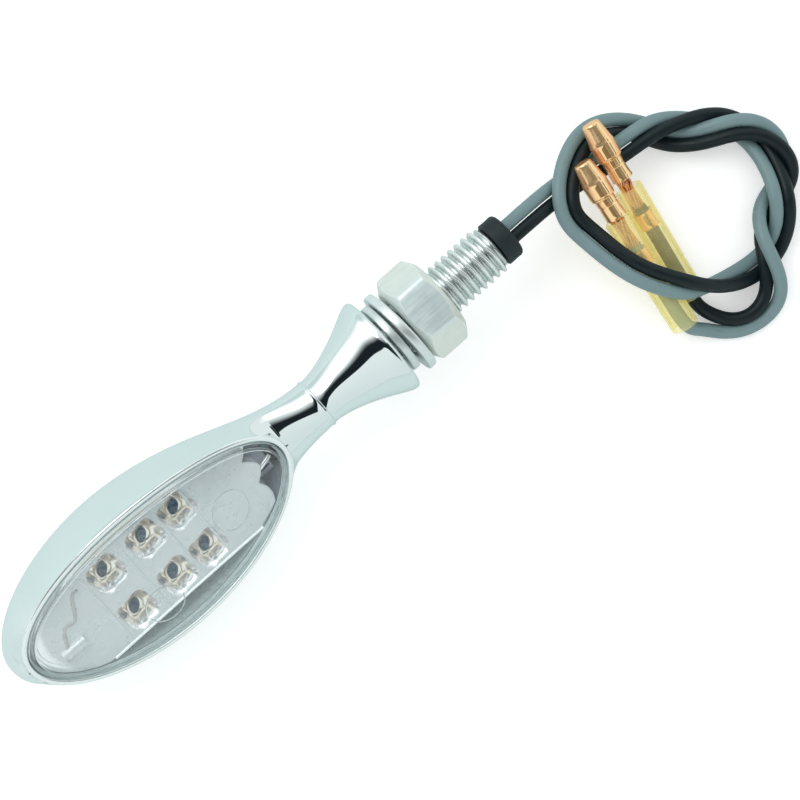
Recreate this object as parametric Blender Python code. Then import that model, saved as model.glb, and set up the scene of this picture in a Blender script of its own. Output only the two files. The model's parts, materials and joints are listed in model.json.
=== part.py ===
"""Motorcycle turn signal indicator, built as separate pieces.

Frame: the origin is on the bench the indicator lies on, under the middle of its box, and +Z is up.
+X runs along the hollow stud towards the cables, and the lamp head is on the -X side. The head is
rolled about the stud's axis, so its lens looks up and towards -Y.

Lengths are in millimetres, measured from the centre of the housing's mounting face on the stud's
axis. add_object scales them to metres, and the stud_axis empty puts that point above the bench.
"""
import math

import bmesh
import bpy
from mathutils import Matrix, Vector

MM = 0.001
MOUNTING_FACE_CENTRE = (2.407, 11.952, 12.53)

# Head and neck of the die-cast housing, in the head's own frame: lens towards +Z
HEAD_ROLL = math.radians(35.0)
NOSE_X = -70.9
HEAD_WIDEST_X = -47.0
HEAD_HALF_WIDTH = 11.8
HEAD_BACK_DEPTH = 6.1
HEAD_CENTRE_DROP = 2.0
NOSE_CENTRE_RISE = 1.0
HEAD_SQUARENESS = 2.05
ROUND_SQUARENESS = 2.0
SQUARENESS_SPAN = (-50.0, -18.0)
CENTRE_RISE_SPAN = (-50.0, -14.0)
WIDTH_HANDLES = ((-30.0, HEAD_HALF_WIDTH), (-24.0, 4.3))
DEPTH_HANDLES = ((-40.0, HEAD_BACK_DEPTH), (-27.0, 4.3))
NOSE_DEPTH_POWER = 1.3
TOP_STEPS = 5
BACK_STEPS = 7
END_STEPS = 4
TINY = 0.0001
NECK_X = -13.5
NECK_RADIUS = 3.9
TRUMPET_PROFILE = (
    (-13.2, 4.05), (-12.9, 3.8), (-11.5, 3.95), (-9.6, 4.35), (-7.6, 4.95), (-5.8, 5.6),
    (-4.2, 6.3), (-2.8, 7.05), (-1.7, 7.7), (-0.9, 8.0), (-0.4, 7.9), (0.0, 7.45),
)
FLANGE_RING_RADIUS = 6.95
FLANGE_RECESS = 0.3

# Rim that holds the lens: two half ellipses seen from above, arched seen from the side
RIM_WIDEST_X = -46.0
RIM_NOSE_LENGTH = 23.1
RIM_NECK_LENGTH = 25.4
RIM_HALF_WIDTH = 11.5
RIM_PEAK_X = -42.0
RIM_PEAK_Z = 5.5
RIM_END_DROP = 2.5
LIP_WIDTH = 0.8
LEDGE_DEPTH = 1.9
LEDGE_WIDTH = 0.8
CAVITY_FLOOR_Z = -7.0
CAVITY_END_DEPTH = 0.6
CAVITY_SQUARENESS = 3.0
PASSAGE_X = (-26.0, -17.0)
PASSAGE_RADIUS = 2.35
PASSAGE_HALF_HEIGHT = 1.25
THROAT_START_X = -17.6
SOCKET_DEPTH = 8.3
SOCKET_RADIUS = 3.6

# Lens and its gasket
LENS_INSET = LIP_WIDTH + 0.25
LENS_EDGE = 1.0
LENS_CROWN = 2.2
SEAL_WIDTH = 0.5
SEAL_LIFT = 0.2
SEAL_HEIGHT = 0.5

# Circuit board, lamps and reflector, stacked under the lens
BOARD_TOP_Z = -1.1
BOARD_THICKNESS = 1.2
BOARD_CENTRE_X = -45.4
BOARD_HALF_LENGTH = 18.7
BOARD_HALF_WIDTH = 8.0
BOARD_SQUARENESS = 2.4
REFLECTOR_CENTRE_X = -46.75
REFLECTOR_HALF_LENGTH = 17.25
REFLECTOR_HALF_WIDTH = 7.6
REFLECTOR_BASE_Z = -0.6
REFLECTOR_TOP_Z = 3.0
REFLECTOR_SQUARENESS = 3.0
LAMP_COLUMNS_X = (-38.3, -44.3, -51.6)
LAMP_ROW_Y = 4.1
LAMP_RADIUS = 1.5
LAMP_FLANGE_RADIUS = 1.75
LAMP_TOP_Z = 2.3
CUP_BASE_HALF = 1.95
CUP_TOP_HALF = (2.75, 2.85)
LAMP_FLANGE_HEIGHT = 0.5
LAMP_SIDES = 14
STANDOFF = 0.2
BOARD_PARTS = (
    ("resistor_1", -41.0, 3.2, 1.6, 0.6), ("resistor_2", -48.0, 3.2, 1.6, 0.6),
    ("diode", -34.5, 4.3, 2.6, 1.1),
)
SOLDER_X = -28.2
SOLDER_HEIGHT = 0.7
SOLDER_PROFILE = ((0.0, 0.85), (0.35, 0.8), (0.7, 0.6), (1.0, 0.25))
PLUG_STATIONS = ((-26.2, 2.8, 1.2), (-25.9, 2.9, 1.4), (-23.8, 2.9, 1.4))
HOLE_SIDES = 12

# M8 hollow stud, nut and washers
STUD_END_X = 21.0
STUD_SPIGOT_X = -8.0
THREAD_START_X = 0.8
THREAD_PITCH = 1.25
THREAD_MAJOR_RADIUS = 3.96
THREAD_MINOR_RADIUS = 3.25
THREAD_FIT = 0.2
THREAD_STEPS = ((0.0, 0.0), (0.22, 0.0), (0.5, 1.0), (0.68, 1.0))
STUD_CHAMFER = 0.1
COUNTERSINK = 0.1
STUD_BORE_RADIUS = 2.35
STUD_COLUMNS = 20
NUT_START_X = 3.9
NUT_HEIGHT = 6.8
NUT_ACROSS_FLATS = 13.0
NUT_TURN = math.radians(2.8)
NUT_COLUMNS = 30
NUT_FACE_SHARE = 0.96
NUT_CHAMFER = math.radians(30.0)
LOCK_WASHER_X = (0.5, 1.7)
LOCK_WASHER_LIFT = 0.15
LOCK_WASHER_RADII = (4.2, 6.2)
LOCK_WASHER_GAP = math.radians(16.0)
LOCK_WASHER_GAP_ANGLE = math.radians(-112.0)
LOCK_WASHER_STEPS = 26
FLAT_WASHER_X = (2.15, 3.6)
FLAT_WASHER_RADII = (4.25, 6.75)
FLAT_WASHER_EDGES = (0.15, 0.35)

# Cable pair
CABLE_RADIUS = 0.885
PAIR_OFFSET = 1.05
CABLE_HOLE_RADIUS = 1.15
GROMMET_X = (21.2, 24.0)
GROMMET_RADIUS = 3.6
GROMMET_BEVELS = ((0.7, 0.0), (0.2, 0.2), (0.0, 0.7))
CABLE_START_X = -26.7
# Straight stations through the head and stud: x, and the share of the head's roll kept there
CABLE_STRAIGHT = ((CABLE_START_X, 1.0), (-17.0, 0.8), (2.0, 0.2), (16.0, 0.0), (24.5, 0.0))
SLEEVE_CABLE_BACK = (1.0, 5.0)

# Bullet terminals and their sliding sleeves, along their own axis from the tip
TERMINAL_PROFILE = (
    (0.0, 1.1), (0.25, 1.35), (3.3, 1.95), (5.8, 1.95), (5.95, 1.45), (6.15, 1.5),
    (7.15, 1.5), (7.25, 1.4), (7.4, 1.4), (7.5, 1.5), (9.6, 1.5),
)
BARREL_BORE_RADIUS = 1.0
BARREL_BORE_START = 6.3
CONDUCTOR_RADIUS = 0.62
CONDUCTOR_SPAN = (6.6, 14.3)
INSULATION_START = 14.6
CRIMP_SPAN = (15.4, 18.0)
CRIMP_RADII = (1.12, 1.45)
STRIP_START = 9.3
STRIP_HALF_WIDTH = 0.5
SLEEVE_RADII = (1.7, 2.05)
SLEEVE_LENGTH = 19.3

# Route of the cable pair beyond the stud: middle of the pair (x, y, z) and its twist in degrees,
# 0 with the grey cable on the left of the way ahead, -90 with the grey cable underneath
ROUTE_STEPS = 2
CABLE_SIDES = 8
PAIR_ROUTE = (
    (32.3, 0.0, -3.5, 15), (36.5, -0.4, -5.5, 9), (40.1, -1.0, -5.9, 8), (45.9, -1.8, -6.0, 6),
    (50.7, -2.2, -6.8, -9), (54.5, -3.6, -8.3, -48), (58.8, -6.3, -10.0, -108),
    (61.8, -10.1, -10.8, -161), (62.2, -15.6, -9.8, -196), (60.0, -21.1, -8.2, -201),
    (58.3, -23.9, -8.4, -198), (56.0, -26.6, -10.1, -195), (52.5, -27.9, -11.5, -187),
    (49.4, -27.7, -11.2, -176), (45.7, -27.2, -8.9, -146), (41.4, -25.1, -5.5, -94),
    (39.2, -23.6, -3.6, -44), (37.2, -21.0, -2.5, -13), (35.0, -17.6, -1.8, -5),
    (33.6, -13.1, -2.0, -4), (33.2, -8.5, -2.7, -1), (32.7, -5.7, -2.7, 4), (33.2, -3.2, -2.2, 12),
    (35.3, -0.2, -2.2, 14), (39.9, 2.6, -3.3, 10), (43.8, 2.9, -5.0, 6), (47.2, 1.6, -7.4, 4),
    (50.4, -1.2, -9.4, -1), (52.0, -4.1, -10.3, -4), (54.0, -6.3, -9.9, -6), (56.9, -8.6, -8.7, -5),
    (59.6, -9.6, -7.9, 0), (61.9, -11.5, -7.8, -4), (64.0, -13.6, -8.3, -25),
    (64.7, -17.5, -9.4, -73), (63.1, -20.4, -10.6, -130), (60.1, -21.7, -11.0, -177),
    (56.3, -22.4, -10.0, -220), (53.3, -24.3, -8.5, -259), (51.7, -28.1, -8.0, -295),
    (50.2, -31.1, -9.2, -333),
)
GREY_TAIL = (
    (49.1, -33.9, -10.5), (46.8, -34.4, -11.5), (43.1, -34.2, -11.6), (39.7, -32.0, -11.6),
    (38.0, -29.5, -10.9), (36.1, -28.3, -8.8),
)
BLACK_TAIL = (
    (47.4, -32.3, -10.3), (44.8, -32.7, -10.4), (42.6, -31.9, -10.5), (41.0, -30.3, -10.9),
    (39.8, -27.9, -10.4), (39.4, -26.1, -9.8),
)
GREY_TIP, GREY_END = (38.9, 0.5, -0.2), (35.6, -27.3, -7.7)
BLACK_TIP, BLACK_END = (43.7, 4.0, -0.6), (39.5, -25.1, -9.6)
GREY_SLEEVE_START = 9.9
BLACK_SLEEVE_START = 11.2


# ---------------------------------------------------------------- objects and materials

def clear_scene():
    for item in list(bpy.data.objects):
        bpy.data.objects.remove(item, do_unlink=True)


def finish_material(name, colour, roughness, metallic, transmission=0.0):
    material = bpy.data.materials.new(name)
    material.use_nodes = True
    shader = material.node_tree.nodes["Principled BSDF"]
    shader.inputs["Base Color"].default_value = (*colour, 1.0)
    shader.inputs["Roughness"].default_value = roughness
    shader.inputs["Metallic"].default_value = metallic
    shader.inputs["Transmission Weight"].default_value = transmission
    material.diffuse_color = (*colour, 1.0)
    return material


def add_object(name, points, faces, material, parent, smooth_angle=35.0):
    """Make one closed solid from points in millimetres; touching points are merged."""
    mesh = bpy.data.meshes.new(name)
    mesh.from_pydata([Vector(point) * MM for point in points], [], faces)
    work = bmesh.new()
    work.from_mesh(mesh)
    bmesh.ops.remove_doubles(work, verts=work.verts, dist=0.00002)
    bmesh.ops.dissolve_degenerate(work, edges=work.edges, dist=0.00001)
    bmesh.ops.recalc_face_normals(work, faces=work.faces)
    work.to_mesh(mesh)
    work.free()
    mesh.shade_smooth()
    mesh.set_sharp_from_angle(angle=math.radians(smooth_angle))
    mesh.materials.append(material)
    item = bpy.data.objects.new(name, mesh)
    bpy.context.collection.objects.link(item)
    item.parent = parent
    return item


def add_empty(name, location, rotation, parent=None):
    empty = bpy.data.objects.new(name, None)
    empty.location = Vector(location) * MM
    empty.rotation_mode = "QUATERNION"
    empty.rotation_quaternion = rotation
    empty.parent = parent
    bpy.context.collection.objects.link(empty)
    return empty


def cut(item, cutter, operation="DIFFERENCE"):
    """Add a Boolean modifier and keep the cutter as a guide."""
    cutter.hide_render = True
    cutter.display_type = "WIRE"
    modifier = item.modifiers.new(cutter.name, "BOOLEAN")
    modifier.operation = operation
    modifier.object = cutter
    modifier.solver = "EXACT"


# ---------------------------------------------------------------- general shapes

def ring_faces(first, second, count):
    """Quads between two closed rings whose points start at first and second."""
    return [
        (first + k, first + (k + 1) % count, second + (k + 1) % count, second + k)
        for k in range(count)
    ]


def loft(rings):
    """Closed solid through equal rings, with a flat cap at each end."""
    count = len(rings[0])
    points = [point for ring in rings for point in ring]
    faces = []
    for k in range(len(rings) - 1):
        faces += ring_faces(k * count, (k + 1) * count, count)
    faces.append(tuple(range(count)))
    faces.append(tuple(range(len(points) - count, len(points))))
    return points, faces


def turned(profile, segments):
    """Solid of revolution about X from a closed outline of (x, radius) points."""
    points = []
    for x, radius in profile:
        for k in range(segments):
            angle = math.tau * k / segments
            points.append((x, radius * math.cos(angle), radius * math.sin(angle)))
    faces = []
    for k in range(len(profile)):
        following = (k + 1) % len(profile)
        faces += ring_faces(k * segments, following * segments, segments)
    return points, faces


def tube_profile(start, end, inner, outer):
    return ((start, inner), (start, outer), (end, outer), (end, inner))


def rod_rings(stations, segments, y=0.0, z=0.0):
    """Rings about an axis parallel to X, from (x, radius_y, radius_z) stations."""
    rings = []
    for x, radius_y, radius_z in stations:
        ring = []
        for k in range(segments):
            angle = math.tau * k / segments
            ring.append((x, y + radius_y * math.cos(angle), z + radius_z * math.sin(angle)))
        rings.append(ring)
    return rings


def box(low, high):
    ring_low = [(low[0], y, z) for y, z in box_corners(low, high)]
    ring_high = [(high[0], y, z) for y, z in box_corners(low, high)]
    return loft([ring_low, ring_high])


def box_corners(low, high):
    return ((low[1], low[2]), (high[1], low[2]), (high[1], high[2]), (low[1], high[2]))


def almond(centre_x, half_length, half_width, power, z, count=32):
    """Closed superellipse outline at height z."""
    ring = []
    for k in range(count):
        angle = math.tau * k / count
        reach = polar_radius(angle, half_length, half_width, power)
        ring.append((centre_x + reach * math.cos(angle), reach * math.sin(angle), z))
    return ring


def polar_radius(angle, half_width, half_height, power):
    """Distance from the centre of a superellipse to its edge, in one direction."""
    across = abs(math.cos(angle) / half_width) ** power
    upward = abs(math.sin(angle) / half_height) ** power
    return (across + upward) ** (-1.0 / power)


def ease(value, start, end):
    step = min(max((value - start) / (end - start), 0.0), 1.0)
    return step * step * (3.0 - 2.0 * step)


def bezier(p0, p1, p2, p3, t):
    s = 1.0 - t
    return s ** 3 * p0 + 3 * s * s * t * p1 + 3 * s * t * t * p2 + t ** 3 * p3


def bezier_height(x, controls):
    """Height at x of a Bezier whose x only increases."""
    low, high = 0.0, 1.0
    for _ in range(40):
        middle = (low + high) / 2.0
        if bezier(*[control[0] for control in controls], middle) < x:
            low = middle
        else:
            high = middle
    return bezier(*[control[1] for control in controls], low)


# ---------------------------------------------------------------- housing

def rim_length(x):
    return RIM_NOSE_LENGTH if x < RIM_WIDEST_X else RIM_NECK_LENGTH


def rim_half_width(x):
    share = (x - RIM_WIDEST_X) / rim_length(x)
    return RIM_HALF_WIDTH * math.sqrt(max(0.0, 1.0 - share * share))


def rim_height(x):
    nose_end = RIM_WIDEST_X - RIM_NOSE_LENGTH
    neck_end = RIM_WIDEST_X + RIM_NECK_LENGTH
    reach = (RIM_PEAK_X - nose_end) if x < RIM_PEAK_X else (neck_end - RIM_PEAK_X)
    return RIM_PEAK_Z - RIM_END_DROP * ((x - RIM_PEAK_X) / reach) ** 2


def inset_point(x, y, inset):
    """Move a point of the rim outline inwards by inset, keeping the ellipse shape."""
    length = rim_length(x)
    inner_x = RIM_WIDEST_X + (x - RIM_WIDEST_X) * (length - inset) / length
    return inner_x, y * (RIM_HALF_WIDTH - inset) / RIM_HALF_WIDTH


def nose_share(x):
    share = (HEAD_WIDEST_X - x) / (HEAD_WIDEST_X - NOSE_X)
    return math.sqrt(max(0.0, 1.0 - share * share))


def body_half_width(x):
    if x < HEAD_WIDEST_X:
        return HEAD_HALF_WIDTH * nose_share(x)
    ends = ((HEAD_WIDEST_X, HEAD_HALF_WIDTH), (NECK_X, NECK_RADIUS))
    return bezier_height(x, (ends[0], *WIDTH_HANDLES, ends[1]))


def body_back_depth(x):
    if x < HEAD_WIDEST_X:
        return HEAD_BACK_DEPTH * nose_share(x) ** NOSE_DEPTH_POWER
    ends = ((HEAD_WIDEST_X, HEAD_BACK_DEPTH), (NECK_X, NECK_RADIUS))
    return bezier_height(x, (ends[0], *DEPTH_HANDLES, ends[1]))


def body_centre(x):
    start, end = CENTRE_RISE_SPAN
    if x < start:
        return -HEAD_CENTRE_DROP + NOSE_CENTRE_RISE * ((x - start) / (NOSE_X - start)) ** 2
    return -HEAD_CENTRE_DROP * (1.0 - ease(x, start, end))


def body_squareness(x):
    return HEAD_SQUARENESS + (ROUND_SQUARENESS - HEAD_SQUARENESS) * ease(x, *SQUARENESS_SPAN)


def body_top(x):
    """Height of the section's crown above its centre, and the angle where the rim cuts it."""
    nose_end = RIM_WIDEST_X - RIM_NOSE_LENGTH
    neck_end = RIM_WIDEST_X + RIM_NECK_LENGTH
    centre = body_centre(x)
    if x <= nose_end:
        share = (nose_end - x) / (nose_end - NOSE_X)
        rise = rim_height(nose_end) - centre
        return rise * math.sqrt(max(0.0, 1.0 - share * share)), math.pi / 2.0
    if x >= neck_end:
        start = rim_height(neck_end) - body_centre(neck_end)
        share = ease(x, neck_end, NECK_X)
        return start + (NECK_RADIUS - start) * share, math.pi / 2.0
    power = body_squareness(x)
    rise = rim_height(x) - centre
    half_width = rim_half_width(x)
    inside = 1.0 - (half_width / body_half_width(x)) ** power
    crown = rise / max(inside, 0.001) ** (1.0 / power)
    return crown, math.atan2(rise, half_width)


def half_angles(first_angle):
    upper = [first_angle * (1.0 - k / TOP_STEPS) for k in range(TOP_STEPS)]
    lower = [-math.pi / 2.0 * k / BACK_STEPS for k in range(BACK_STEPS + 1)]
    return upper + lower


def mirror_loop(half):
    """Complete a loop of (x, y, z) points that starts at +Y and ends on the middle line."""
    return half + [(x, -y, z) for x, y, z in reversed(half[:-1])]


def head_section(x):
    """Section of the head from the rim on the +Y side, round the back, to the other rim."""
    crown, first_angle = body_top(x)
    centre = body_centre(x)
    width = max(body_half_width(x), TINY)
    depth = max(body_back_depth(x), TINY)
    crown = max(crown, TINY)
    half = []
    for angle in half_angles(first_angle):
        height = crown if angle > 0.0 else depth
        reach = polar_radius(angle, width, height, body_squareness(x))
        half.append((x, reach * math.cos(angle), centre + reach * math.sin(angle)))
    return mirror_loop(half)


def round_section(x, radius):
    half = [(x, radius * math.cos(a), radius * math.sin(a)) for a in half_angles(math.pi / 2.0)]
    return mirror_loop(half)


def rim_stations(count=24):
    nose_end = RIM_WIDEST_X - RIM_NOSE_LENGTH
    neck_end = RIM_WIDEST_X + RIM_NECK_LENGTH
    middle = (nose_end + neck_end) / 2.0
    reach = (neck_end - nose_end) / 2.0
    return [middle - reach * math.cos(math.pi * k / count) for k in range(count + 1)]


def cavity_section(x):
    """Inner loop of the opening at one rim station: lip, ledge, wall and floor."""
    width = rim_half_width(x)
    lip_x, lip_y = inset_point(x, width, LIP_WIDTH)
    wall_x, wall_y = inset_point(x, width, LIP_WIDTH + LEDGE_WIDTH)
    ledge_z = rim_height(lip_x) - LEDGE_DEPTH
    wall_z = rim_height(wall_x) - LEDGE_DEPTH
    roundness = width / RIM_HALF_WIDTH
    end_z = wall_z - CAVITY_END_DEPTH
    floor_z = end_z + (CAVITY_FLOOR_Z - end_z) * roundness
    half = [(lip_x, lip_y, rim_height(lip_x)), (lip_x, lip_y, ledge_z)]
    steps = 6
    for k in range(steps + 1):
        angle = math.pi / 2.0 * k / steps
        reach = polar_radius(angle, max(wall_y, TINY), wall_z - floor_z, CAVITY_SQUARENESS)
        half.append((wall_x, reach * math.cos(angle), wall_z - reach * math.sin(angle)))
    return mirror_loop(half)


def open_grid(sections, points, faces):
    """Append a grid of open loops and return the index of its first point."""
    first = len(points)
    count = len(sections[0])
    for section in sections:
        points.extend(section)
    for k in range(len(sections) - 1):
        for j in range(count - 1):
            corner = first + k * count + j
            faces.append((corner, corner + 1, corner + count + 1, corner + count))
    return first


def housing_sections():
    nose_end = RIM_WIDEST_X - RIM_NOSE_LENGTH
    neck_end = RIM_WIDEST_X + RIM_NECK_LENGTH
    nose = [nose_end + (NOSE_X - nose_end) * math.cos(math.pi / 2.0 * k / END_STEPS)
            for k in range(END_STEPS)]
    sections = [head_section(x) for x in nose]
    sections += [head_section(x) for x in rim_stations()]
    neck = [neck_end + (NECK_X - neck_end) * k / END_STEPS for k in range(1, END_STEPS + 1)]
    sections += [head_section(x) for x in neck]
    sections += [round_section(x, radius) for x, radius in TRUMPET_PROFILE]
    sections.append(round_section(0.0, FLANGE_RING_RADIUS))
    sections.append(round_section(-FLANGE_RECESS, FLANGE_RING_RADIUS))
    sections.append(round_section(-FLANGE_RECESS, TINY))
    return sections, len(nose)


def make_housing(material, head):
    points, faces = [], []
    outer, rim_start = housing_sections()
    outer_first = open_grid(outer, points, faces)
    inner = [cavity_section(x) for x in rim_stations()]
    inner_first = open_grid(inner, points, faces)
    outer_count, inner_count = len(outer[0]), len(inner[0])
    for k in range(len(inner) - 1):
        out_a = outer_first + (rim_start + k) * outer_count
        out_b = out_a + outer_count
        in_a = inner_first + k * inner_count
        in_b = in_a + inner_count
        faces.append((out_a, out_b, in_b, in_a))
        faces.append((out_a + outer_count - 1, in_a + inner_count - 1,
                      in_b + inner_count - 1, out_b + outer_count - 1))
    housing = add_object("housing", points, faces, material, head)
    passage = rod_rings([(x, PASSAGE_RADIUS, PASSAGE_HALF_HEIGHT) for x in PASSAGE_X], 20)
    throat_span = (THROAT_START_X, -SOCKET_DEPTH + 0.5)
    throat = rod_rings([(x, PASSAGE_RADIUS, PASSAGE_RADIUS) for x in throat_span], 20)
    socket = rod_rings([(x, SOCKET_RADIUS, SOCKET_RADIUS) for x in (-SOCKET_DEPTH, 1.0)], 24)
    for name, rings in (("passage", passage), ("throat", throat), ("socket", socket)):
        cutter = add_object("cut_" + name, *loft(rings), material, head)
        cut(housing, cutter)
    return housing


# ---------------------------------------------------------------- inside the head

def rim_ring(inset, scale, count=40):
    """Points (x, y) of the rim outline, inset and then scaled towards its middle."""
    ring = []
    for k in range(count):
        angle = math.tau * k / count
        length = RIM_NOSE_LENGTH if math.cos(angle) < 0.0 else RIM_NECK_LENGTH
        x = RIM_WIDEST_X + scale * (length - inset) * math.cos(angle)
        ring.append((x, scale * (RIM_HALF_WIDTH - inset) * math.sin(angle)))
    return ring


def make_lens(material, head):
    """Clear crowned cover of even thickness, whose edge follows the arched rim."""
    scales = (1.0, 0.95, 0.84, 0.66, 0.42, 0.18)
    count = 40
    points, faces = [], []
    for underside in (0.0, LENS_EDGE):
        for scale in scales:
            crown = LENS_CROWN * (1.0 - scale * scale)
            for x, y in rim_ring(LENS_INSET, scale):
                points.append((x, y, rim_height(x) + crown - underside))
        points.append((RIM_WIDEST_X, 0.0, rim_height(RIM_WIDEST_X) + LENS_CROWN - underside))
    half = len(scales) * count + 1
    for first in (0, half):
        for k in range(len(scales) - 1):
            faces += ring_faces(first + k * count, first + (k + 1) * count, count)
        last = first + (len(scales) - 1) * count
        middle = first + half - 1
        faces += [(last + k, last + (k + 1) % count, middle) for k in range(count)]
    faces += ring_faces(0, half, count)
    return add_object("lens", points, faces, material, head)


def make_lens_seal(material, head):
    """Flat rubber gasket between the lens edge and the housing's ledge."""
    low, high = LEDGE_DEPTH - SEAL_LIFT, LEDGE_DEPTH - SEAL_LIFT - SEAL_HEIGHT
    corners = ((LENS_INSET, low), (LENS_INSET, high),
               (LENS_INSET + SEAL_WIDTH, high), (LENS_INSET + SEAL_WIDTH, low))
    points, faces = [], []
    count = 40
    for inset, depth in corners:
        points += [(x, y, rim_height(x) - depth) for x, y in rim_ring(inset, 1.0)]
    for k in range(4):
        faces += ring_faces(k * count, (k + 1) % 4 * count, count)
    return add_object("lens_seal", points, faces, material, head)


def make_circuit_board(material, head):
    rings = [almond(BOARD_CENTRE_X, BOARD_HALF_LENGTH, BOARD_HALF_WIDTH, BOARD_SQUARENESS, z)
             for z in (BOARD_TOP_Z - BOARD_THICKNESS, BOARD_TOP_Z)]
    return add_object("circuit_board", *loft(rings), material, head)


def lamp_places():
    return [(x, y) for x in LAMP_COLUMNS_X for y in (LAMP_ROW_Y, -LAMP_ROW_Y)]


def make_reflector(material, head):
    """Plated plate with one square, tapering cup for each lamp."""
    rings = [almond(REFLECTOR_CENTRE_X, REFLECTOR_HALF_LENGTH, REFLECTOR_HALF_WIDTH,
                    REFLECTOR_SQUARENESS, z)
             for z in (REFLECTOR_BASE_Z, REFLECTOR_TOP_Z)]
    reflector = add_object("reflector", *loft(rings), material, head)
    for number, (x, y) in enumerate(lamp_places(), 1):
        low_ring = cup_ring(x, y, CUP_BASE_HALF, CUP_BASE_HALF, REFLECTOR_BASE_Z - 0.1)
        high_ring = cup_ring(x, y, *CUP_TOP_HALF, REFLECTOR_TOP_Z + 0.1)
        cup = add_object("cut_cup_%d" % number, *loft([low_ring, high_ring]), material, head)
        cut(reflector, cup)
    return reflector


def cup_ring(x, y, half_x, half_y, z):
    return [(x - half_x, y - half_y, z), (x + half_x, y - half_y, z),
            (x + half_x, y + half_y, z), (x - half_x, y + half_y, z)]


def level_ring(x, y, z, radius, count):
    return [(x + radius * math.cos(math.tau * k / count),
             y + radius * math.sin(math.tau * k / count), z) for k in range(count)]


def make_lamp(number, x, y, material, head):
    """Round light-emitting diode: a flange, a body and a domed top, standing on the board."""
    base = BOARD_TOP_Z + STANDOFF
    shoulder = LAMP_TOP_Z - LAMP_RADIUS
    flange_top = base + LAMP_FLANGE_HEIGHT
    outline = [(base, LAMP_FLANGE_RADIUS), (flange_top, LAMP_FLANGE_RADIUS),
               (flange_top, LAMP_RADIUS)]
    for k in range(4):
        angle = math.pi / 2.0 * k / 4
        outline.append((shoulder + LAMP_RADIUS * math.sin(angle), LAMP_RADIUS * math.cos(angle)))
    outline.append((LAMP_TOP_Z, 0.2))
    rings = [level_ring(x, y, z, radius, LAMP_SIDES) for z, radius in outline]
    return add_object("led_%d" % number, *loft(rings), material, head)


def make_board_parts(chip, solder, head):
    """Resistors and reverse-polarity diode under the board, solder joints on top of it."""
    top = BOARD_TOP_Z - BOARD_THICKNESS - STANDOFF
    for name, x, length, width, height in BOARD_PARTS:
        low = (x - length / 2.0, -width / 2.0, top - height)
        high = (x + length / 2.0, width / 2.0, top)
        add_object(name, *box(low, high), chip, head)
    for name, y in (("solder_grey", PAIR_OFFSET), ("solder_black", -PAIR_OFFSET)):
        base = BOARD_TOP_Z + STANDOFF
        rings = [level_ring(SOLDER_X, y, base + SOLDER_HEIGHT * share, radius, HOLE_SIDES)
                 for share, radius in SOLDER_PROFILE]
        add_object(name, *loft(rings), solder, head)


def make_potting_plug(material, head):
    """Resin plug round both cables where they enter the head."""
    rings = rod_rings(PLUG_STATIONS, 20)
    ends = (PLUG_STATIONS[0][0] - 1.0, PLUG_STATIONS[-1][0] + 1.0)
    plug = add_object("potting_plug", *loft(rings), material, head)
    for name, y in (("grey", PAIR_OFFSET), ("black", -PAIR_OFFSET)):
        hole = rod_rings([(x, CABLE_HOLE_RADIUS, CABLE_HOLE_RADIUS) for x in ends],
                         HOLE_SIDES, y=y)
        cut(plug, add_object("cut_plug_" + name, *loft(hole), material, head))
    return plug


# ---------------------------------------------------------------- stud, nut and washers


def thread_columns(start, end, columns, radius_at, end_radius, turned_by=0.0):
    """Columns of (x, radius) points down a right-hand thread, flattened to its end planes.

    Every thread passes through the same helix about X; turned_by is the piece's own rotation.
    """
    first_turn = int(start / THREAD_PITCH) - 2
    last_turn = int(end / THREAD_PITCH) + 2
    result = []
    for column in range(columns):
        lead = THREAD_PITCH * (column / columns + turned_by / math.tau)
        points = []
        for turn in range(first_turn, last_turn):
            for share, height in THREAD_STEPS:
                x = (turn + share) * THREAD_PITCH + lead
                if x <= start:
                    points.append((start, end_radius(start)))
                elif x >= end:
                    points.append((end, end_radius(end)))
                else:
                    points.append((x, radius_at(x, height)))
        result.append(points)
    return result


def thread_rings(columns):
    """Rings across the columns; the last column meets the first one turn later."""
    count = len(columns)
    rings = []
    for k in range(len(columns[0])):
        ring = []
        for j in range(count):
            x, radius = columns[j][k]
            angle = math.tau * j / count
            ring.append((x, radius * math.cos(angle), radius * math.sin(angle)))
        rings.append(ring)
    return rings


def helical_faces(first, ring_count, count):
    """Quads of a thread: at the seam each ring continues into the ring one pitch along."""
    shift = len(THREAD_STEPS)
    faces = []
    for k in range(ring_count - 1):
        for j in range(count - 1):
            corner = first + k * count + j
            faces.append((corner, corner + 1, corner + count + 1, corner + count))
        if k + shift + 1 < ring_count:
            seam = first + k * count + count - 1
            onward = first + (k + shift) * count
            faces.append((seam, onward, onward + count, seam + count))
    return faces


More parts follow.
